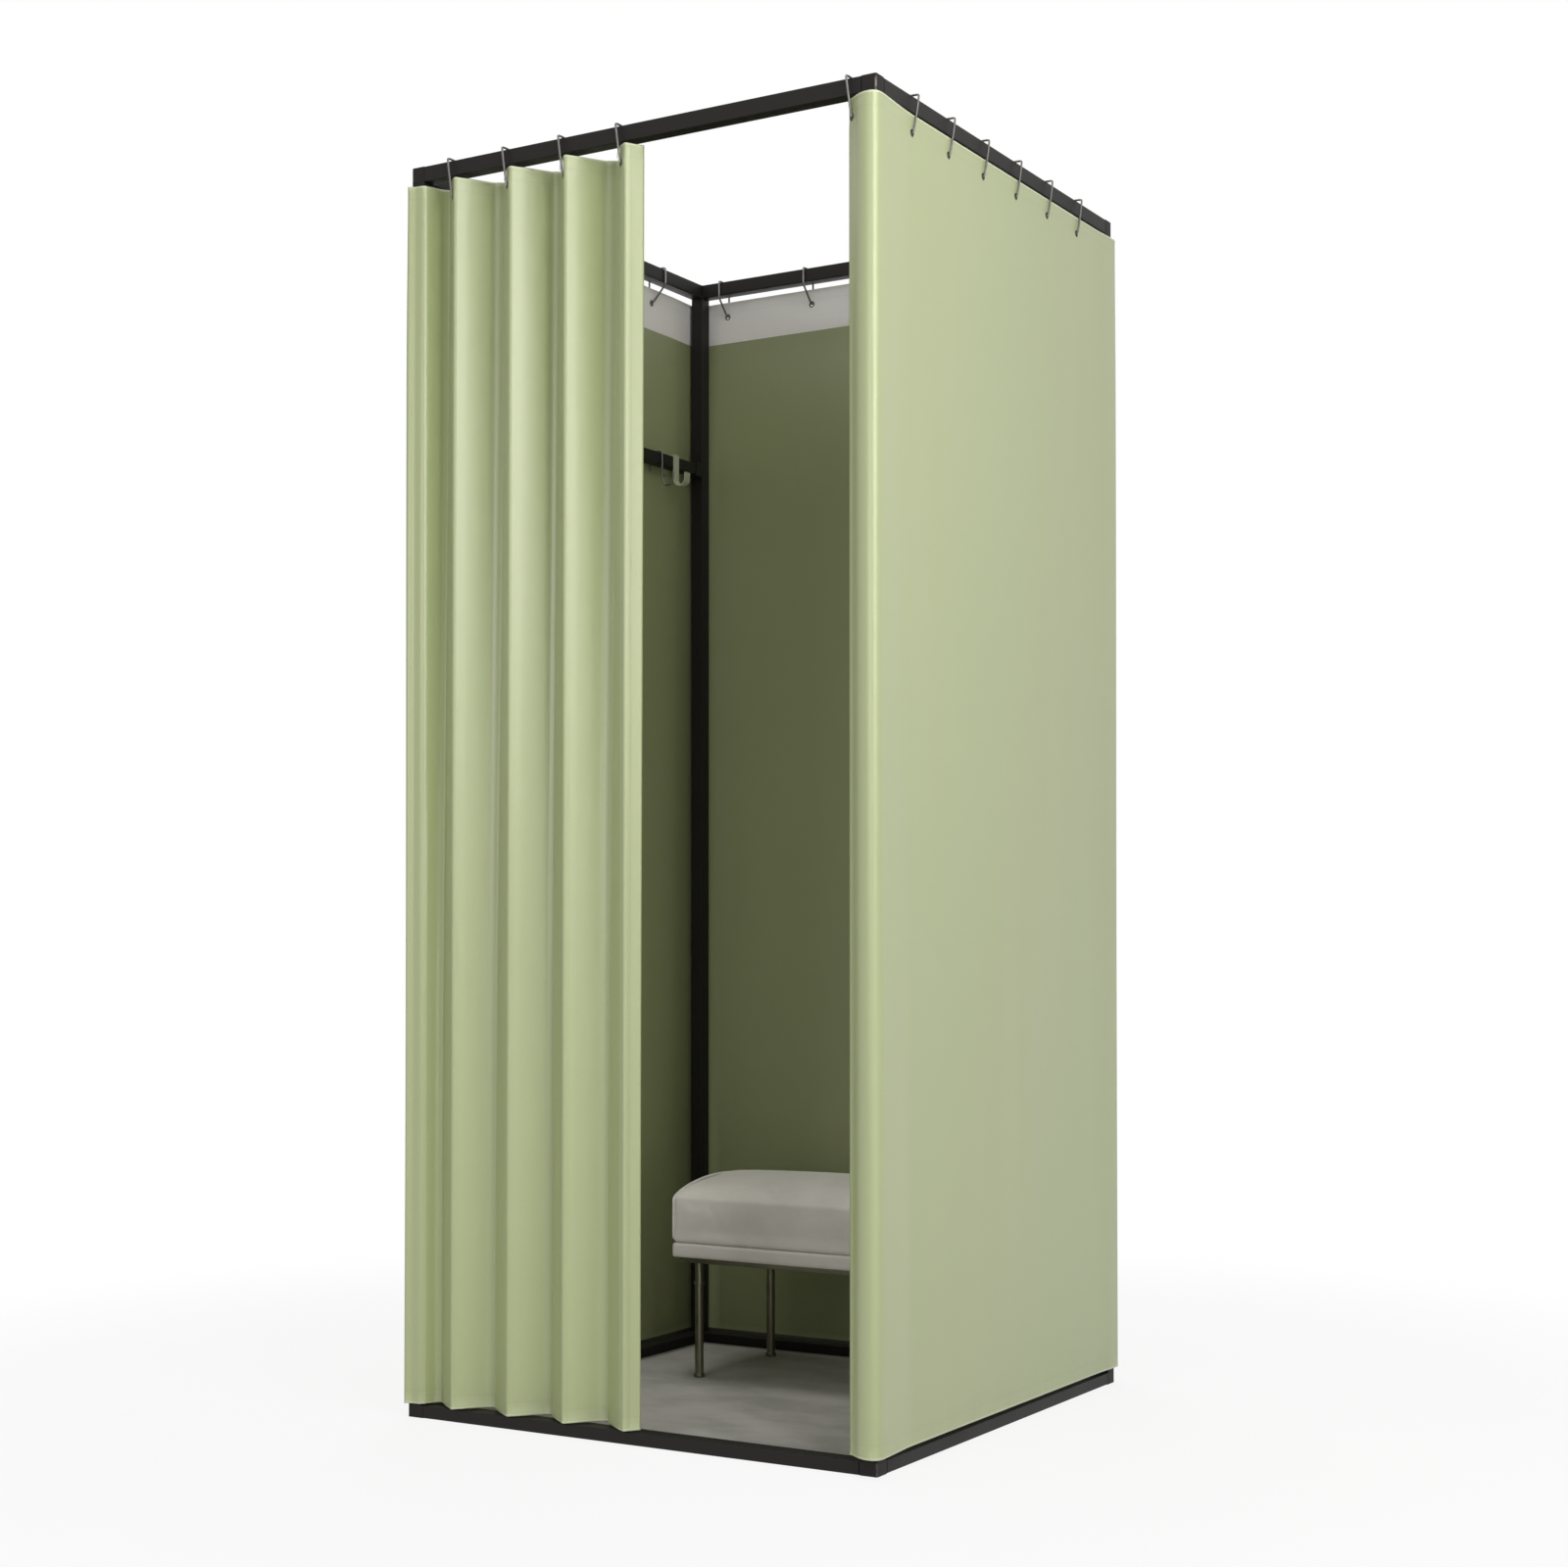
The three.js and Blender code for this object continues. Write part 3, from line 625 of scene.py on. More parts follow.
@dataclass
class ClothLine:
    """The line that a curtain follows, seen from above."""

    start: Point
    points: list[Point] = field(default_factory=list)
    marks: list[float] = field(default_factory=list)
    spans: list[tuple[float, float]] = field(default_factory=list)

    def __post_init__(self) -> None:
        """Put the first point on the line."""
        self.points, self.marks = [self.start], [0.0]

    @property
    def length(self) -> float:
        """Return the length of the line so far."""
        return self.marks[-1]

    def follow(self, points: Iterable[Point], step: float) -> "ClothLine":
        """Run the line through more points.

        Args:
            points: The points.
            step: The width of the mesh faces there.

        Returns:
            The line itself.
        """
        for point in points:
            far = math.dist(self.points[-1], point)
            if far > 1e-7:
                self.points.append(point)
                self.marks.append(self.marks[-1] + far)
        self.spans.append((self.length, step))
        return self

    def swing(self, knots: Sequence[Point], step: float) -> "ClothLine":
        """Run the line smoothly through knots, from the first one on.

        Args:
            knots: The points that the curve passes.
            step: The width of the mesh faces there.

        Returns:
            The line itself.
        """
        found: list[Point] = []
        padded = (knots[0], *knots, knots[-1])
        for corners in zip(padded, padded[1:], padded[2:], padded[3:]):
            for part in range(1, 33):
                share = part / 32
                found.append(tuple(
                    0.5 * (
                        2 * b + (c - a) * share + (2 * a - 5 * b + 4 * c - d) * share ** 2
                        + (3 * b - a - 3 * c + d) * share ** 3
                    )
                    for a, b, c, d in zip(*corners)
                ))
        return self.follow(found, step)

    def at(self, mark: float) -> Vector:
        """Find the point that lies at a distance along the line.

        Args:
            mark: The distance.

        Returns:
            The point.
        """
        mark = min(max(mark, 0.0), self.length)
        index = min(bisect_right(self.marks, mark), len(self.marks) - 1)
        low, high = self.marks[index - 1], self.marks[index]
        a, b = Vector(self.points[index - 1]), Vector(self.points[index])
        return a.lerp(b, (mark - low) / (high - low))

    def outward(self, mark: float) -> Vector:
        """Return the direction away from the room at a distance along the line."""
        run = (self.at(mark + 0.0012) - self.at(mark - 0.0012)).normalized()
        return Vector((run.y, -run.x))

    def nearest(self, place: Point) -> float:
        """Find the distance along the line of its point nearest to a place.

        Args:
            place: The place, seen from above.

        Returns:
            The distance.
        """
        best, (x, y) = (math.inf, 0.0), place
        for (ax, ay), (bx, by), low, high in zip(
            self.points, self.points[1:], self.marks, self.marks[1:],
        ):
            share = ((x - ax) * (bx - ax) + (y - ay) * (by - ay)) / (high - low) ** 2
            share = min(1.0, max(0.0, share))
            far = math.hypot(ax + (bx - ax) * share - x, ay + (by - ay) * share - y)
            best = min(best, (far, low + (high - low) * share))
        return best[1]


@dataclass(frozen=True)
class Stop:
    """One level of the cloth's section: its height and how far each face stands off."""

    height: float
    outer: float
    inner: float


@dataclass
class ClothBody:
    """The mesh grid of one curtain: stations along its line, stops up its height."""

    line: ClothLine
    eyelets: Sequence[float]
    lead_mark: float = 0.0
    thickness: float = 0.0018
    eyelet_height: float = 1.940
    hole: float = 0.0036
    hole_radius: float = 0.0032
    flange: float = 0.0060
    wave_depth: float = 0.0012
    taper: float = 0.0
    taper_edge: Point = (-0.396, -0.430)
    drops: tuple[float, float] = (0.0, 0.0)
    door_start: float = 0.465
    grommet_zone: Point = (0.0062, 0.017)

    def stops(self) -> list[Stop]:
        """Return the levels from the bottom edge to the top edge."""
        half = self.thickness / 2
        edge_band, band, edge = half + 0.0003, half + 0.0001, half * 0.45
        heights = [
            HEADER_BOTTOM, 1.905, 1.918, 1.926, 1.931, self.eyelet_height - self.hole,
            self.eyelet_height, self.eyelet_height + self.hole, 1.947, 1.954, 1.9600,
            CLOTH_TOP - 0.0036,
        ]
        return [
            Stop(CLOTH_BOTTOM, edge, edge), Stop(CLOTH_BOTTOM + 0.0005, edge_band, edge_band),
            Stop(CLOTH_BOTTOM + 0.003, edge_band, edge_band), Stop(CLOTH_BOTTOM + 0.0036, half, half),
            Stop(CLOTH_BOTTOM + 0.021, half, half),
            *(Stop(0.09 + 0.06 * index, half, half) for index in range(30)),
            Stop(HEADER_BOTTOM - 0.0006, half, half),
            *(Stop(height, half, band) for height in heights),
            Stop(CLOTH_TOP - 0.003, edge_band, edge_band), Stop(CLOTH_TOP - 0.0005, edge_band, edge_band),
            Stop(CLOTH_TOP, edge, edge),
        ]

    def stations(self) -> list[float]:
        """Return the distances along the line at which the mesh has a column."""
        marks, start = [0.0], 0.0
        for end, step in self.line.spans:
            count = max(1, round((end - start) / step))
            marks += [start + (end - start) * part / count for part in range(1, count + 1)]
            start = end
        offsets = (-0.012, -0.008, -0.0058, -self.hole, 0.0, self.hole, 0.0058, 0.008, 0.012)
        exact = [
            eyelet + off for eyelet in self.eyelets for off in offsets
            if 0 < eyelet + off < self.line.length
        ]
        kept = [mark for mark in marks if all(abs(mark - other) > 0.0011 for other in exact)]
        return sorted({*kept, *exact, 0.0, self.line.length})

    def offset(self, mark: float, height: float) -> float:
        """Return how far the cloth waves outward from its line.

        Args:
            mark: The distance along the line.
            height: The height above the floor.

        Returns:
            The distance, in metres.
        """
        calm = min(abs(mark - eyelet) for eyelet in self.eyelets)
        calm = share_between(calm, 0.0, 0.06) * share_between(CLOTH_TOP - height, 0.0, 0.25)
        calm *= 0.4 + 0.6 * share_between(height, 0.028, 0.5)
        edge = share_between(min(mark, self.line.length - mark), 0.0, 0.08)
        waves = math.sin(mark * 13.1 + height * 1.7)
        waves += 0.6 * math.sin(mark * 5.3 - height * 2.9 + 1.0)
        sway = math.sin(height * 3.4 + mark * 2.0) * self.wave_depth * 0.5
        return (waves * self.wave_depth * 0.6 + sway) * calm * edge

    def drop(self, mark: float, height: float) -> float:
        """Return how far the lower edge hangs below the plain hem, on the wall and on the door.

        Args:
            mark: The distance along the line.
            height: The plain height.

        Returns:
            The distance, in metres.
        """
        middle = self.line.length * self.door_start
        share = share_between(mark, middle, middle + 0.05)
        low = 1 - share_between(height, CLOTH_BOTTOM + 0.004, 0.15)
        return (self.drops[0] * (1 - share) + self.drops[1] * share) * low

    def flattened(self, mark: float, height: float, place: Vector) -> Vector:
        """Draw the cloth flat round an eyelet, as its grommet does.

        Args:
            mark: The distance along the line.
            height: The height above the floor.
            place: The cloth's point there, seen from above.

        Returns:
            The point, moved on to the grommet's plane near an eyelet.
        """
        for eyelet in self.eyelets:
            away = math.hypot(mark - eyelet, (height - self.eyelet_height) * 0.8)
            share = 1 - share_between(away, *self.grommet_zone)
            if share > 0:
                middle, facing = self.line.at(eyelet), self.line.outward(eyelet)
                place = place - facing * ((place - middle).dot(facing) * share)
        return place

    def grid(self, marks: Sequence[float], stops: Sequence[Stop]) -> list[Vector]:
        """Lay out the points of both faces.

        Args:
            marks: The stations.
            stops: The levels.

        Returns:
            For each station its outer points from the bottom up, and then its inner ones.
        """
        places = []
        for mark in marks:
            middle, facing = self.line.at(mark), self.line.outward(mark)
            is_door = mark > self.line.length / 2
            for side in (1, -1):
                for stop in stops:
                    height = stop.height
                    place = middle + facing * self.offset(mark, height)
                    if is_door and place.x > self.taper_edge[0]:
                        shallow = self.taper * share_between(height, CLOTH_TOP, 0.3)
                        place.y -= max(0.0, place.y - self.taper_edge[1]) * shallow
                    thick = stop.outer if side > 0 else -stop.inner
                    place = self.flattened(mark, height, place) + facing * thick
                    places.append(Vector((place.x, place.y, height - self.drop(mark, height))))
        return places

    def holes(self, marks: Sequence[float], stops: Sequence[Stop]) -> set[tuple[int, int]]:
        """Find the cells of the grid that lie within an eyelet's hole.

        Args:
            marks: The stations.
            stops: The levels.

        Returns:
            Their first stations and lower levels.
        """
        middles = [(first + second) / 2 for first, second in zip(marks, marks[1:])]
        heights = [(low.height + high.height) / 2 for low, high in zip(stops, stops[1:])]
        columns = [here for here, middle in enumerate(middles)
                   if any(abs(middle - eyelet) < self.hole for eyelet in self.eyelets)]
        levels = [low for low, height in enumerate(heights)
                  if abs(height - self.eyelet_height) < self.hole]
        return {(here, low) for here in columns for low in levels}

    def pieces(
        self, cuts: Sequence[float], names: Sequence[str], materials: Sequence[Material],
    ) -> list[Object]:
        """Build the cloth as one mesh and part it at the cuts, with one smooth shading.

        Args:
            cuts: The distances along the line at which it is parted.
            names: The pieces' names, one more than the cuts.
            materials: The outer and the inner material.

        Returns:
            The pieces, in the line's order.
        """
        marks, stops = self.stations(), self.stops()
        places, holes = self.grid(marks, stops), self.holes(marks, stops)
        count, levels = len(marks), len(stops)

        def face(column: int, slot: int, *spots: tuple[int, int, int]) -> Face:
            """Number a face's corners, which are given by station, side and level."""
            corners = tuple((at * 2 + side) * levels + level for at, side, level in spots)
            return column, corners, slot

        faces: list[Face] = []
        for here in range(count - 1):
            there = here + 1
            for low in range(levels - 1):
                high = low + 1
                if (here, low) not in holes:
                    a, b, c, d = (here, low), (there, low), (there, high), (here, high)
                    faces += [
                        face(here, side, *((at, side, level) for at, level in ring))
                        for side, ring in ((0, (a, b, c, d)), (1, (a, d, c, b)))
                    ]
                    continue
                for beside, (a, b), (c, d) in (
                    ((here - 1, low), (here, low), (here, high)),
                    ((here + 1, low), (there, high), (there, low)),
                    ((here, low - 1), (there, low), (here, low)),
                    ((here, high), (here, high), (there, high)),
                ):
                    if beside not in holes:
                        faces.append(face(here, 0, (a, 0, b), (c, 0, d), (c, 1, d), (a, 1, b)))
            last = levels - 1
            bottom = ((here, 0, 0), (here, 1, 0), (there, 1, 0), (there, 0, 0))
            top = ((here, 0, last), (there, 0, last), (there, 1, last), (here, 1, last))
            faces += [face(here, 0, *bottom), face(here, 0, *top)]

        def end_faces(at: int, column: int) -> list[Face]:
            """Close the cloth's section at a station.

            Args:
                at: The station.
                column: The column of cells next to it.

            Returns:
                The closing faces.
            """
            closing = []
            for low in range(levels - 1):
                ring = ((at, 0, low), (at, 0, low + 1), (at, 1, low + 1), (at, 1, low))
                if (column, low) not in holes:
                    closing.append(face(column, 0, *(ring if column == at else ring[::-1])))
            return closing

        faces += end_faces(0, 0) + end_faces(count - 1, count - 2)
        whole = bpy.data.meshes.new("whole_cloth")
        whole.from_pydata(places, [], [corners for _, corners, _ in faces])
        whole.update()
        normals = [Vector(item.vector) for item in whole.vertex_normals]
        bpy.data.meshes.remove(whole)
        parting = [min(range(count), key=lambda at: abs(marks[at] - cut)) for cut in cuts]
        parts = []
        for name, first, end in zip(names, [0, *parting], [*parting, count]):
            chosen = [item for item in faces if first <= item[0] < end]
            chosen += end_faces(first, first) if first else []
            chosen += end_faces(end, end - 1) if end < count else []
            used = sorted({corner for _, corners, _ in chosen for corner in corners})
            renumbered = {old: new for new, old in enumerate(used)}
            mesh = bpy.data.meshes.new(name)
            mesh.from_pydata(
                [places[old] for old in used], [],
                [[renumbered[corner] for corner in corners] for _, corners, _ in chosen],
            )
            layer = mesh.uv_layers.new(name="cloth")
            for polygon, (_, corners, slot) in zip(mesh.polygons, chosen):
                polygon.material_index, polygon.use_smooth = slot, True
                for loop, corner in zip(polygon.loop_indices, corners):
                    mark = marks[corner // levels // 2]
                    layer.data[loop].uv = (mark - self.lead_mark, stops[corner % levels].height)
            mesh.normals_split_custom_set_from_vertices([normals[old] for old in used])
            parts.append(add_object(name, mesh, *materials))
        return parts

    def grommets(
        self, name: str, marks: Sequence[float], material: Material, body: str = "frame",
    ) -> None:
        """Turn the pressed metal eyelets of this cloth and place them.

        Args:
            name: The piece's name.
            marks: The distances along the line of their holes.
            material: Their metal.
            body: The body that they ride on.
        """
        half, bore, rim = self.thickness / 2, self.hole_radius, self.flange
        section = [
            (bore, half + 0.0001), (bore + 0.0003, half + 0.00036),
            (bore + 0.0011, half + 0.00044), (rim - 0.0006, half + 0.0003),
            (rim, half - 0.0001), (rim, -half), (rim - 0.0006, -half - 0.0003),
            (bore + 0.0011, -half - 0.00046), (bore + 0.0003, -half - 0.0004),
            (bore, -half - 0.0001),
        ]
        shape = bmesh.new()
        for mark in marks:
            out = self.line.outward(mark).to_3d()
            side = Vector((-out.y, out.x, 0.0))
            centre = Vector((*self.line.at(mark), self.eyelet_height))
            spokes = [
                side * math.cos(angle) + Vector((0, 0, math.sin(angle)))
                for angle in (math.tau * part / 28 for part in range(28))
            ]
            rings = [[centre + spoke * r + out * h for r, h in section] for spoke in spokes]
            skin(shape, rings, is_looped=True)
        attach(add_object(name, finished(shape, name), material), body)


@dataclass
class Curtains:
    """The right, back and left wall curtains and the pleated door curtain."""

    cloth_line: float = 0.430
    corner_radius: float = 0.014
    lap_offset: float = 0.0024
    seam: float = 0.388
    hidden_end: float = 0.406
    post_edge: float = -0.396
    ring_pitch: float = 0.108
    door_rings: tuple[float, ...] = (-0.337, -0.229, -0.121, -0.013)
    doorway_edge_ring: float = 0.389
    right_rings: tuple[float, ...] = (-0.326, -0.208, -0.090, 0.028, 0.146, 0.264)
    back_rings: tuple[float, ...] = (-0.361, -0.1765, 0.008, 0.1925, 0.377)
    left_rings: tuple[float, ...] = (-0.270, -0.090, 0.090, 0.270)
    travel_shares: tuple[float, ...] = (0.15405, 0.43603, 0.71802, 1.0)
    height: float = 1.940
    wall_drop: float = 0.014
    door_drop: float = 0.0055
    corner_knots: tuple[Point, ...] = (
        (-0.4290, -0.4080), (-0.4284, -0.4180), (-0.4276, -0.4270), (-0.4262, -0.4328),
        (-0.4240, -0.4343), (-0.4214, -0.4330), (-0.4190, -0.4309), (-0.4166, -0.4293),
        (-0.4130, -0.4283), (-0.4040, -0.4277), (-0.3990, -0.4265), (-0.3958, -0.4215),
        (-0.3925, -0.4125), (-0.3893, -0.4030), (-0.3862, -0.3950), (-0.3820, -0.3900),
    )
    rise_knots: tuple[Point, ...] = (
        (-0.0385, 0.0425), (-0.018, 0.0192), (-0.005, 0.005), (0.0, 0.0),
    )
    crest_knots: tuple[Point, ...] = (
        (-0.0036, -0.0040), (-0.0012, -0.0056), (0.0006, -0.0058), (0.0022, -0.0044),
        (0.0042, -0.0012),
    )
    fall_knots: tuple[Point, ...] = (
        (0.270, 0.249), (0.432, 0.433), (0.595, 0.618), (0.757, 0.800), (0.878, 0.927),
        (0.951, 0.976), (1.040, 1.0),
    )
    tail_knots: tuple[Point, ...] = ((0.0215, 0.0098), (0.0280, 0.0200))
    crests: tuple[float, ...] = (0.0084, 0.0098, 0.0074, 0.0108)
    plateaus: tuple[Point, ...] = ((0.0492, 0.0508), (0.0545, 0.0540), (0.0480, 0.0528))
    valleys: tuple[float, ...] = (0.0590, 0.0632, 0.0585)
    taper: float = 0.30
    roll_knots: tuple[Point, ...] = (
        (0.3822, -0.4262), (0.3856, -0.4280), (0.3890, -0.4300), (0.3925, -0.4324),
        (0.3975, -0.4362), (0.4050, -0.4412), (0.4135, -0.4450), (0.4225, -0.4466),
        (0.4305, -0.4448), (0.4352, -0.4396), (0.4367, -0.4320), (0.4362, -0.4200),
        (0.4350, -0.4050), (0.4336, -0.3880), (0.4322, -0.3700), (0.4310, -0.3520),
        (0.4302, -0.3360), (0.4300, -0.3200),
    )

    def back_corner(self, side: int) -> list[Point]:
        """Return the points of a side wall's end, from its side round to the back wall's face.

        Args:
            side: 1 for the right wall, -1 for the left one.

        Returns:
            The points.
        """
        outer, radius = self.cloth_line + self.lap_offset, self.corner_radius
        arc = [
            (outer - radius + radius * math.cos(angle), outer - radius + radius * math.sin(angle))
            for angle in (math.pi / 2 * part / 16 for part in range(17))
        ]
        points = ((self.cloth_line, 0.345), (outer, 0.395), *arc, (self.seam, outer))
        return [(side * x, y) for x, y in points]

    def right_line(self) -> ClothLine:
        """Return the right wall's line: the doorway's return, the rolled corner and the side."""
        line = ClothLine(self.roll_knots[0])
        line.swing(self.roll_knots, 0.0026)
        end = self.back_corner(1)
        line.follow(end[:1], 0.03).follow(end[1:2], 0.02)
        return line.follow(end[2:-1], 0.0028).follow(end[-1:], 0.015)

    def back_line(self) -> ClothLine:
        """Return the back wall's line, whose ends lie under the side walls' ends."""
        return ClothLine((self.hidden_end, self.cloth_line)).follow(
            [(-self.hidden_end, self.cloth_line)], 0.03,
        )

    def front_line(self) -> ClothLine:
        """Return the line of the left wall, the front left corner and the pleated door curtain."""
        end = self.back_corner(-1)[::-1]
        line = ClothLine(end[0]).follow(end[1:2], 0.015).follow(end[2:-2], 0.0028)
        line.follow(end[-2:-1], 0.02).follow(end[-1:], 0.02).follow([self.corner_knots[0]], 0.03)
        knots = list(self.corner_knots)
        for number, ring in enumerate(self.door_rings):
            knots += [(ring + along, deep - self.cloth_line) for along, deep in self.pleat(number)]
        return line.swing(knots, 0.0030)

    def pleat(self, number: int) -> list[Point]:
        """Return one pleat's section as distances along the rail from its ring and depths.

        Args:
            number: Which pleat, from 0 at the left.

        Returns:
            The points, from the rise before the ring to the valley after it.
        """
        crest = self.crests[number]
        points = [*self.rise_knots, *((crest + along, deep) for along, deep in self.crest_knots)]
        if number == len(self.door_rings) - 1:
            return [*points, *self.tail_knots]
        (plateau, deep), valley = self.plateaus[number], self.valleys[number]
        start = self.crest_knots[2][1]
        return [
            *points,
            *((crest + along * (plateau - crest), start + down * (deep - start))
              for along, down in self.fall_knots),
            ((plateau + valley) / 2 + 0.0014, deep + 0.0030), (valley - 0.0004, deep + 0.0056),
            (valley + 0.0024, deep + 0.0046),
        ]

    def build_walls(self, cloths: Sequence[Material], metal: Material) -> None:
        """Build and place the right and back walls with their eyelets.

        Args:
            cloths: The cloth's outer and inner face.
            metal: The eyelets' metal.
        """
        right, back, side = self.right_line(), self.back_line(), self.cloth_line
        right_places = [(self.doorway_edge_ring, -side), *((side, y) for y in self.right_rings)]
        right_marks = [right.nearest(place) for place in right_places]
        back_marks = sorted(back.nearest((x, side)) for x in self.back_rings)
        for wall, body, more in (
            ("right", ClothBody(right, right_marks), ["doorway_edge_ring"]),
            ("back", ClothBody(back, back_marks, drops=(self.wall_drop, self.wall_drop)), []),
        ):
            piece = body.pieces([], [f"{wall}_wall_curtain"], cloths)[0]
            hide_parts(f"curtain_{wall}_wall")
            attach(piece, "frame")
            body.grommets(f"{wall}_wall_eyelets", body.eyelets, metal)

    def build_front(self, cloths: Sequence[Material], metal: Material) -> None:
        """Build and place the left wall and the door curtain with their eyelets.

        Args:
            cloths: The cloth's outer and inner face.
            metal: The eyelets' metal.
        """
        line, side = self.front_line(), self.cloth_line
        left_marks = [line.nearest((-side, y)) for y in reversed(self.left_rings)]
        door_marks = [line.nearest((x, -side)) for x in self.door_rings]
        body = ClothBody(line, left_marks + door_marks, line.length, taper=self.taper,
                         drops=(self.wall_drop, self.door_drop))
        cuts = door_marks[:-1]
        spans = zip([0.0, *cuts], [*cuts, line.length])
        names = ["left_wall_and_first_pleat", "door_pleat_2", "door_pleat_3", "door_pleat_4"]
        parts = body.pieces(cuts, names, cloths)
        for number, (part, (first, last)) in enumerate(zip(parts, spans)):
            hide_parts(f"door_curtain_pleat_{number + 1}")
            rings = [f"door_curtain_ring_{near}" for near in (number, number + 1) if near]
            if number == 0:
                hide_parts("curtain_left_wall")
                rings += [f"left_wall_ring_{near}" for near in (1, 2, 3, 4)]
            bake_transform(part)
            body.grommets(f"door_eyelet_{number + 1}", [door_marks[number]], metal,
                          f"door_ring_{number + 1}")
        body.grommets("left_wall_eyelets", left_marks, metal)


# Mat and bench


@dataclass
class FloorMat:
    """The mat inside the base ring, with a bound edge."""

    half_side: float = MAT_HALF_SIDE
    thickness: float = 0.003
    cells: int = 56

    def top_height(self, x: float, y: float) -> float:
        """Find the height of the pile at a place.

        Args:
            x: The place's x.
            y: The place's y.

        Returns:
            The height.
        """
        edge = self.half_side - max(abs(x), abs(y))
        roll = share_between(edge, 0.0, 0.0022)
        ridge = 0.00035 * (1 - abs(share_between(edge, 0.0, 0.014) * 2 - 1))
        wave = 0.0002 * math.sin(x * 17 + math.sin(y * 9)) * math.sin(y * 13 + 0.7)
        return 0.0006 + (self.thickness - 0.0009) * roll + (ridge + wave) * roll

    def build(self, material: Material) -> None:
        """Build and place the mat.

        Args:
            material: Its pile.
        """
        steps = (0.0, 0.0006, 0.0013, 0.0022, 0.004, 0.0135, 0.0147)
        inner = [self.half_side - step for step in steps]
        parts = [inner[-1] * 2 * (part / self.cells - 0.5) for part in range(1, self.cells)]
        ticks = sorted([*inner, *(-value for value in inner), *parts])
        size = len(ticks)
        flat, last = size * size, size - 1
        places = [(x, y, self.top_height(x, y)) for y in ticks for x in ticks]
        places += [(x, y, 0.0) for x, y, _ in places]
        faces = []
        for row in range(last):
            for a in range(row * size, row * size + last):
                faces += [(a, a + 1, a + size + 1, a + size),
                          (flat + a, flat + a + size, flat + a + size + 1, flat + a + 1)]
        border = [*range(size), *range(size + last, flat, size)]
        border += [*range(flat - 2, flat - size - 1, -1), *range(flat - 2 * size, 0, -size)]
        for here, there in zip(border, border[1:] + border[:1]):
            faces.append((here, flat + here, flat + there, there))
        mesh = bpy.data.meshes.new("mat")
        mesh.from_pydata(places, [], faces)
        mat = add_object("bound_floor_mat", smooth(mesh), material)
        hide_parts("floor_mat")
        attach(mat, "frame")


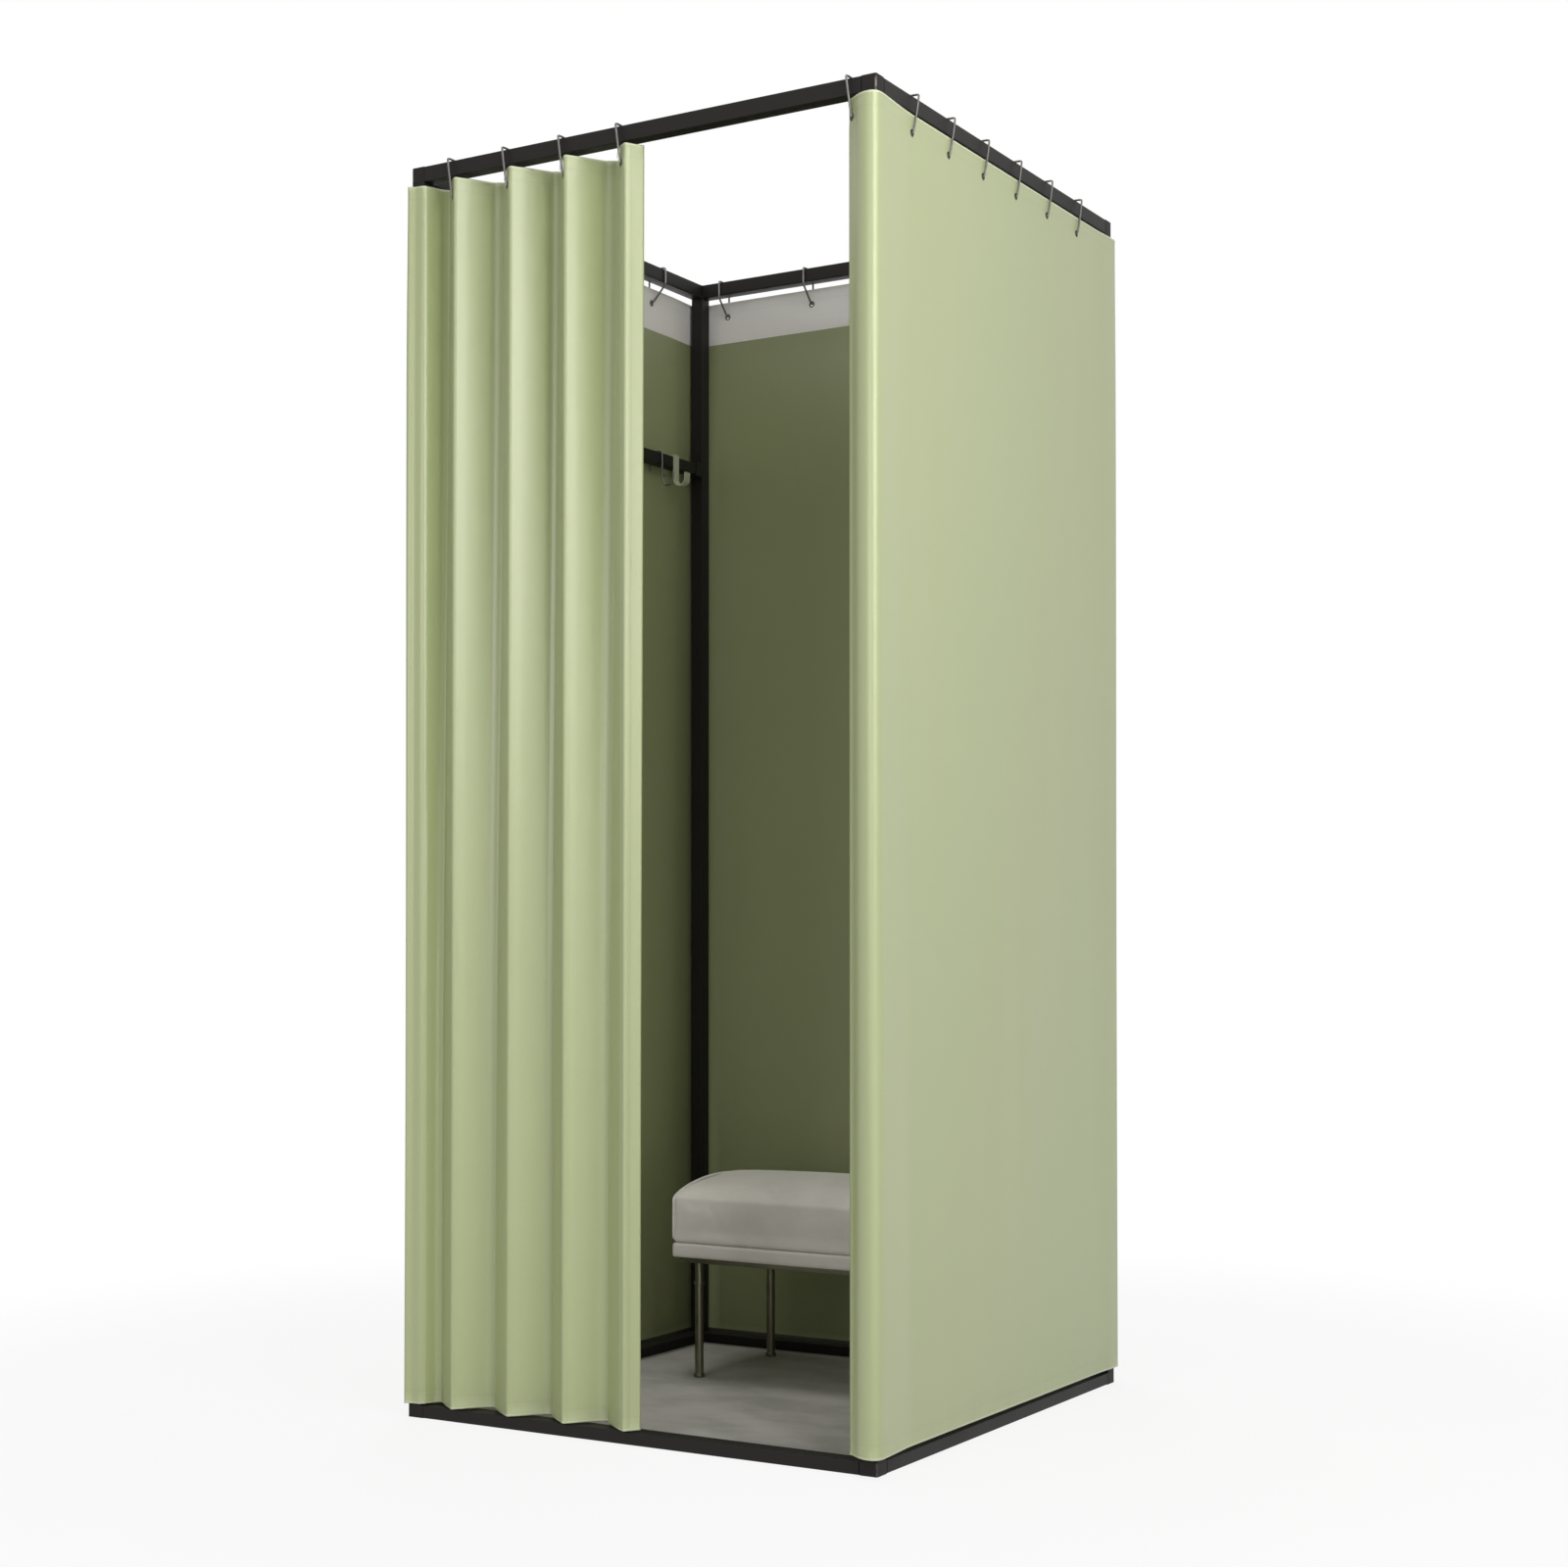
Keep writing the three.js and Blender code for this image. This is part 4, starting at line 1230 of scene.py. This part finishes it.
@dataclass
class Bench:
    """The bench: a swollen cushion on an upholstered board, a steel rim and turned legs."""

    length: float = 0.480
    depth: float = 0.310
    middle: float = 0.209
    board_bottom: float = 0.212
    board_top: float = 0.236
    cushion_bottom: float = 0.2363
    corner: float = 0.006
    side_height: float = 0.076
    crown: float = 0.036
    end_drop: float = 0.005
    arch_power: float = 1.44
    panel_bulge: float = 0.0006
    pressure: float = 4.0
    frames: int = 20
    swell_cap: float = 0.004
    voxel: float = 0.005
    piping: float = 0.0030
    piping_inset: Point = (0.0036, 0.0030)
    tufts: tuple[Point, ...] = ((-0.121, 0.088), (-0.052, 0.088), (0.016, 0.088))
    tuft_depth: float = 0.0042
    tuft_radius: float = 0.0075
    tuft_reach: float = 0.024

    def outline(self, inset: float, height: float) -> list[Vector]:
        """Draw one level of the board's cover.

        Args:
            inset: How far it lies inside the bench's sides.
            height: Its height above the floor.

        Returns:
            Its points, all round.
        """
        reach_x, reach_y = (side / 2 - inset - self.corner for side in (self.length, self.depth))
        points = []
        for quarter, (side_x, side_y) in enumerate(((1, 1), (-1, 1), (-1, -1), (1, -1))):
            for part in range(7):
                angle = math.pi / 2 * (quarter + part / 6)
                points.append(Vector((
                    side_x * reach_x + self.corner * math.cos(angle),
                    side_y * reach_y + self.corner * math.sin(angle) + self.middle, height,
                )))
        return points

    def section(self, x: float, inset: float) -> list[Vector]:
        """Draw the cushion's arched section at one place along the bench.

        Args:
            x: The place along the bench.
            inset: How far the section lies inside the cushion's sides.

        Returns:
            Its points, all round, from the bottom's front edge.
        """
        half, side = self.depth / 2 - inset, self.side_height - inset
        low = self.cushion_bottom + inset * 0.5
        rise = self.crown - self.end_drop * (2 * x / self.length) ** 2
        back = [(half - 0.004, 0.0), (half - 0.0012, 0.0012), (half, 0.005)]
        back += [
            (half + 0.0006 * math.sin(math.pi * share), side * share)
            for share in (part / 7 for part in range(1, 8))
        ]
        arch = [
            (half * math.cos(angle), side + rise * math.sin(angle) ** self.arch_power)
            for angle in (math.pi * part / 30 for part in range(1, 30))
        ]
        under = [(half * (part / 7), 0.0) for part in range(-6, 7)]
        loop = under + back + arch + [(-y, z) for y, z in reversed(back)]
        return [Vector((x, self.middle + y, low + z)) for y, z in loop]

    def cushion_rings(self) -> list[list[Vector]]:
        """Return the cushion's sections from end to end, with its two flat end panels."""
        half = self.length / 2
        edge = [(0.0, 0.0052), (0.0006, 0.0026), (0.0022, 0.0010), (0.0050, 0.0002), (0.0100, 0.0)]
        rings = [self.section(-half + along, inset) for along, inset in edge]
        rings += [self.section(-half + 0.020 * part, 0.0) for part in range(1, 24)]
        rings += [self.section(half - along, inset) for along, inset in reversed(edge)]
        panels = []
        for rim, side in ((rings[0], -1), (rings[-1], 1)):
            centre, bulge = sum(rim, Vector()) / len(rim), Vector((side * self.panel_bulge, 0, 0))
            panels.append([
                [centre.lerp(point, share) + bulge for point in rim]
                for share in (0.86, 0.70, 0.50, 0.30, 0.12)
            ])
        return panels[0][::-1] + rings + panels[1]

    def welt(self, side: int) -> Mesh:
        """Sweep the piping round one end panel of the cushion.

        Args:
            side: 1 for the right end, -1 for the left one.

        Returns:
            Its mesh.
        """
        along, inset = self.piping_inset
        section = self.section(side * (self.length / 2 - along), inset)
        loop = [point for point in section if point.z > section[0].z + 0.003]
        centre = sum(loop, Vector()) / len(loop)
        rings = []
        for before, point, after in zip(loop[:1] + loop, loop, loop[1:] + loop[-1:]):
            out = (after - before).normalized().cross(Vector((1, 0, 0)))
            out *= self.piping if out.dot(point - centre) > 0 else -self.piping
            across = Vector((self.piping, 0, 0))
            rings.append([
                point + out * math.cos(angle) + across * math.sin(angle)
                for angle in (math.tau * part / 8 for part in range(8))
            ])
        return loft("welt", rings)

    def press_tufts(self, pad: Object) -> None:
        """Press the faint tufts into the cushion's front slope.

        Args:
            pad: The cushion.
        """
        for vertex in pad.data.vertices:
            for x, y in self.tufts:
                away = math.hypot(vertex.co.x - x, vertex.co.y - y)
                if away < self.tuft_reach and vertex.co.z > self.board_bottom + self.side_height:
                    vertex.co.z -= self.tuft_depth * math.exp(-(away / self.tuft_radius) ** 2)

    def swell(self, pad: Object) -> None:
        """Blow the pad up as stuffed cloth, holding each point to a short way.

        Args:
            pad: The pad, which keeps the swollen shape in its mesh.
        """
        remesh = pad.modifiers.new("even", "REMESH")
        remesh.mode, remesh.voxel_size = "VOXEL", self.voxel
        self.bake(pad)
        before = [vertex.co.copy() for vertex in pad.data.vertices]
        settings = pad.modifiers.new("swell", "CLOTH").settings
        settings.use_pressure, settings.uniform_pressure_force = True, self.pressure
        settings.effector_weights.gravity = 0.0
        scene = bpy.context.scene
        for number in range(1, self.frames + 1):
            scene.frame_set(number)
        self.bake(pad)
        scene.frame_set(1)
        floor, end = self.cushion_bottom, self.length / 2 + 0.001
        for vertex, start in zip(pad.data.vertices, before):
            moved = vertex.co - start
            if moved.length > self.swell_cap:
                moved *= self.swell_cap / moved.length
            low = share_between(start.z, floor + 0.004, floor + 0.022)
            place = start + moved * (0.12 + 0.88 * low)
            place.x = min(max(place.x, -end), end)
            place.z = max(place.z, floor) if start.z > floor + 0.002 else floor
            vertex.co = place
        smooth(pad.data)

    def bake(self, pad: Object) -> None:
        """Put what the pad's modifiers give into its mesh and take them off.

        Args:
            pad: The pad.
        """
        depsgraph = bpy.context.evaluated_depsgraph_get()
        mesh = bpy.data.meshes.new_from_object(pad.evaluated_get(depsgraph))
        pad.modifiers.clear()
        pad.data = mesh

    def build(self, fabric: Material) -> None:
        """Build and place the cushion, the board's cover and the piping of the two end panels.

        Args:
            fabric: Their woven cover.
        """
        cushion = add_object("bench_seat_cushion", loft("cushion", self.cushion_rings()), fabric)
        self.swell(cushion)
        self.press_tufts(cushion)
        finer = cushion.modifiers.new("finer", "SUBSURF")
        finer.levels = finer.render_levels = 1
        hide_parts("bench_cushion")
        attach(cushion, "bench")
        low, high = self.board_bottom, self.board_top
        section = [
            (0.0060, low), (0.0012, low), (0.0003, low + 0.0012), (0.0001, low + 0.006),
            (0.0000, low + 0.012), (0.0001, low + 0.018), (0.0006, low + 0.0222),
            (0.0018, high - 0.0004), (0.0050, high), (0.0100, high),
        ]
        rings = [self.outline(inset, height) for inset, height in section]
        cover = add_object("bench_board_cover", loft("board_cover", rings), fabric)
        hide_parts("bench_seat_board")
        welts = [
            add_object(f"bench_cushion_piping_{name}", self.welt(side), fabric)
            for side, name in ((-1, "left"), (1, "right"))
        ]
        for piece in (cover, *welts):
            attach(piece, "bench")


# Carried-over metal and plastic


@dataclass
class PackedPieces:
    """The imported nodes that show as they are, with their finishes and softened edges."""

    edges: Mapping[str, float] = field(default_factory=lambda: {
        "powder_coat": 0.0007, "connector": 0.0009, "leg_metal": 0.0004, "strap": 0.0005,
        "ring_wire": 0.0,
    })

    def dress(self, finishes: Mapping[str, Material]) -> None:
        """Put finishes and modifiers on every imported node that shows.

        Args:
            finishes: The materials by the record's slot names.
        """
        for name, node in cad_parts.items():
            if not node.hide_render:
                slot_name = node.data.materials[0].name.split(".")[0]
                node.data.materials[0] = finishes[slot_name]
                refine(node, self.edges[slot_name])
                LOG.info("dressed %s in %s", name, slot_name)


# Studio


@dataclass(frozen=True)
class Lamp:
    """One large soft lamp."""

    name: str
    place: Point3
    target: Point3
    width: float
    height: float
    watts: float

    def build(self) -> Object:
        """Return the lamp's object."""
        light = bpy.data.lights.new(self.name, "AREA")
        light.shape, light.energy = "RECTANGLE", self.watts
        light.size, light.size_y = self.width, self.height
        lamp = bpy.data.objects.new(self.name, light)
        lamp.location = self.place
        way = Vector(self.target) - Vector(self.place)
        lamp.rotation_euler = way.to_track_quat("-Z", "Y").to_euler()
        bpy.context.scene.collection.objects.link(lamp)
        return lamp


@dataclass
class Studio:
    """Camera, pale floor, world and lamps."""

    camera_place: Point3 = (2.0635, -3.4337, 0.7669)
    camera_tilt: float = 1.1538
    camera_turn: float = 30.7752
    lens: float = 55.368
    shift_up: float = 0.0656
    floor_side: float = 30.0
    ambient: float = 0.22
    lamps: tuple[Lamp, ...] = (
        Lamp("key_lamp", (1.95, -1.22, 2.25), (0.2, -0.41, 1.3), 1.6, 2.0, 28.8),
        Lamp("strip_lamp", (2.15, -2.00, 1.60), (0.2, -0.43, 1.30), 0.32, 3.0, 12.0),
        Lamp("front_fill_lamp", (0.2, -4.5, 1.8), (0.0, -0.2, 0.7), 1.5, 1.5, 25.0),
        Lamp("top_lamp", (0.0, -0.1, 6.5), (0.0, 0.0, 0.0), 1.8, 1.8, 80.0),
        Lamp("inside_lamp", (-0.20, -0.340, 0.95), (-0.16, 0.43, 0.95), 0.24, 1.5, 1.2),
        Lamp("back_lamp", (-2.4, 3.0, 2.4), (0.0, 0.2, 1.0), 2.4, 2.0, 60.0),
    )

    def build_camera(self) -> None:
        """Make the camera at the object's three-quarter view."""
        data = bpy.data.cameras.new("view")
        data.sensor_width, data.sensor_fit, data.lens = 36.0, "HORIZONTAL", self.lens
        data.shift_y = self.shift_up
        data.clip_start, data.clip_end = 0.05, 60.0
        camera = bpy.data.objects.new("view", data)
        camera.location = self.camera_place
        camera.rotation_euler = (
            math.radians(90 + self.camera_tilt), 0.0, math.radians(self.camera_turn),
        )
        bpy.context.scene.collection.objects.link(camera)
        bpy.context.scene.camera = camera

    def seen(self, graph: ShaderGraph) -> Value:
        """Return 1 for rays of the camera and of gloss and glass."""
        camera, gloss, glass = (
            graph.node("ShaderNodeLightPath", output=f"Is {kind} Ray")
            for kind in ("Camera", "Glossy", "Transmission")
        )
        return camera.most(gloss).most(glass)

    def build_world(self) -> None:
        """Make the world: white to the camera, and a weak even light on the object."""
        world = bpy.data.worlds.new("studio")
        bpy.context.scene.world = world
        graph = ShaderGraph(world)
        dim, white = (
            graph.node("ShaderNodeBackground", None, {"Color": (1, 1, 1, 1), "Strength": strength})
            for strength in (self.ambient, 1.0)
        )
        mixed = graph.node("ShaderNodeMixShader", None, {0: self.seen(graph), 1: dim, 2: white})
        graph.node("ShaderNodeOutputWorld", None, {"Surface": mixed})

    def build_floor(self) -> None:
        """Lay the pale floor, which shows white and keeps a light shadow."""
        half = self.floor_side / 2
        mesh = bpy.data.meshes.new("studio_floor")
        mesh.from_pydata([(-half, -half, 0), (half, -half, 0), (half, half, 0), (-half, half, 0)],
                         [], [(0, 1, 2, 3)])
        graph = new_graph("studio_floor")
        plain = graph.node("ShaderNodeBsdfDiffuse", None, {"Color": (0.8, 0.8, 0.8, 1)})
        white = graph.node("ShaderNodeEmission", None, {"Color": (1, 1, 1, 1), "Strength": 1.0})
        place = graph.place()
        across, along = graph.axis(place, "X"), graph.axis(place, "Y")
        far = (across * across + along * along).ramp(0.9, 4.5)
        share = self.seen(graph) * (0.86 + far * 0.14)
        mixed = graph.node("ShaderNodeMixShader", None, {0: share, 1: plain, 2: white})
        graph.node("ShaderNodeOutputMaterial", None, {"Surface": mixed})
        add_object("studio_floor", mesh, graph.owner)

    def build(self) -> None:
        """Build the whole studio."""
        self.build_camera()
        self.build_world()
        self.build_floor()
        for lamp in self.lamps:
            lamp.build()
        bpy.context.scene.view_settings.view_transform = "Standard"


def main() -> None:
    """Build and dress the fitting room in order."""
    logging.basicConfig(level=logging.INFO, format="%(levelname)s %(message)s")
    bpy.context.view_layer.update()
    finishes = {
        finish.name: finish.build() for finish in (
            PowderCoat(), MouldedPlastic(), *METALS, GreyPile(), StrapPaint(), Upholstery(),
        )
    }
    curtains, cloths = Curtains(), [CurtainCloth(face).build() for face in ClothFace]
    curtains.build_walls(cloths, finishes["eyelet_metal"])
    curtains.build_front(cloths, finishes["eyelet_metal"])
    FloorMat().build(finishes["floor_mat"])
    Bench().build(finishes["upholstery"])
    PackedPieces().dress(finishes)
    Studio().build()


if __name__ == "__main__":
    main()
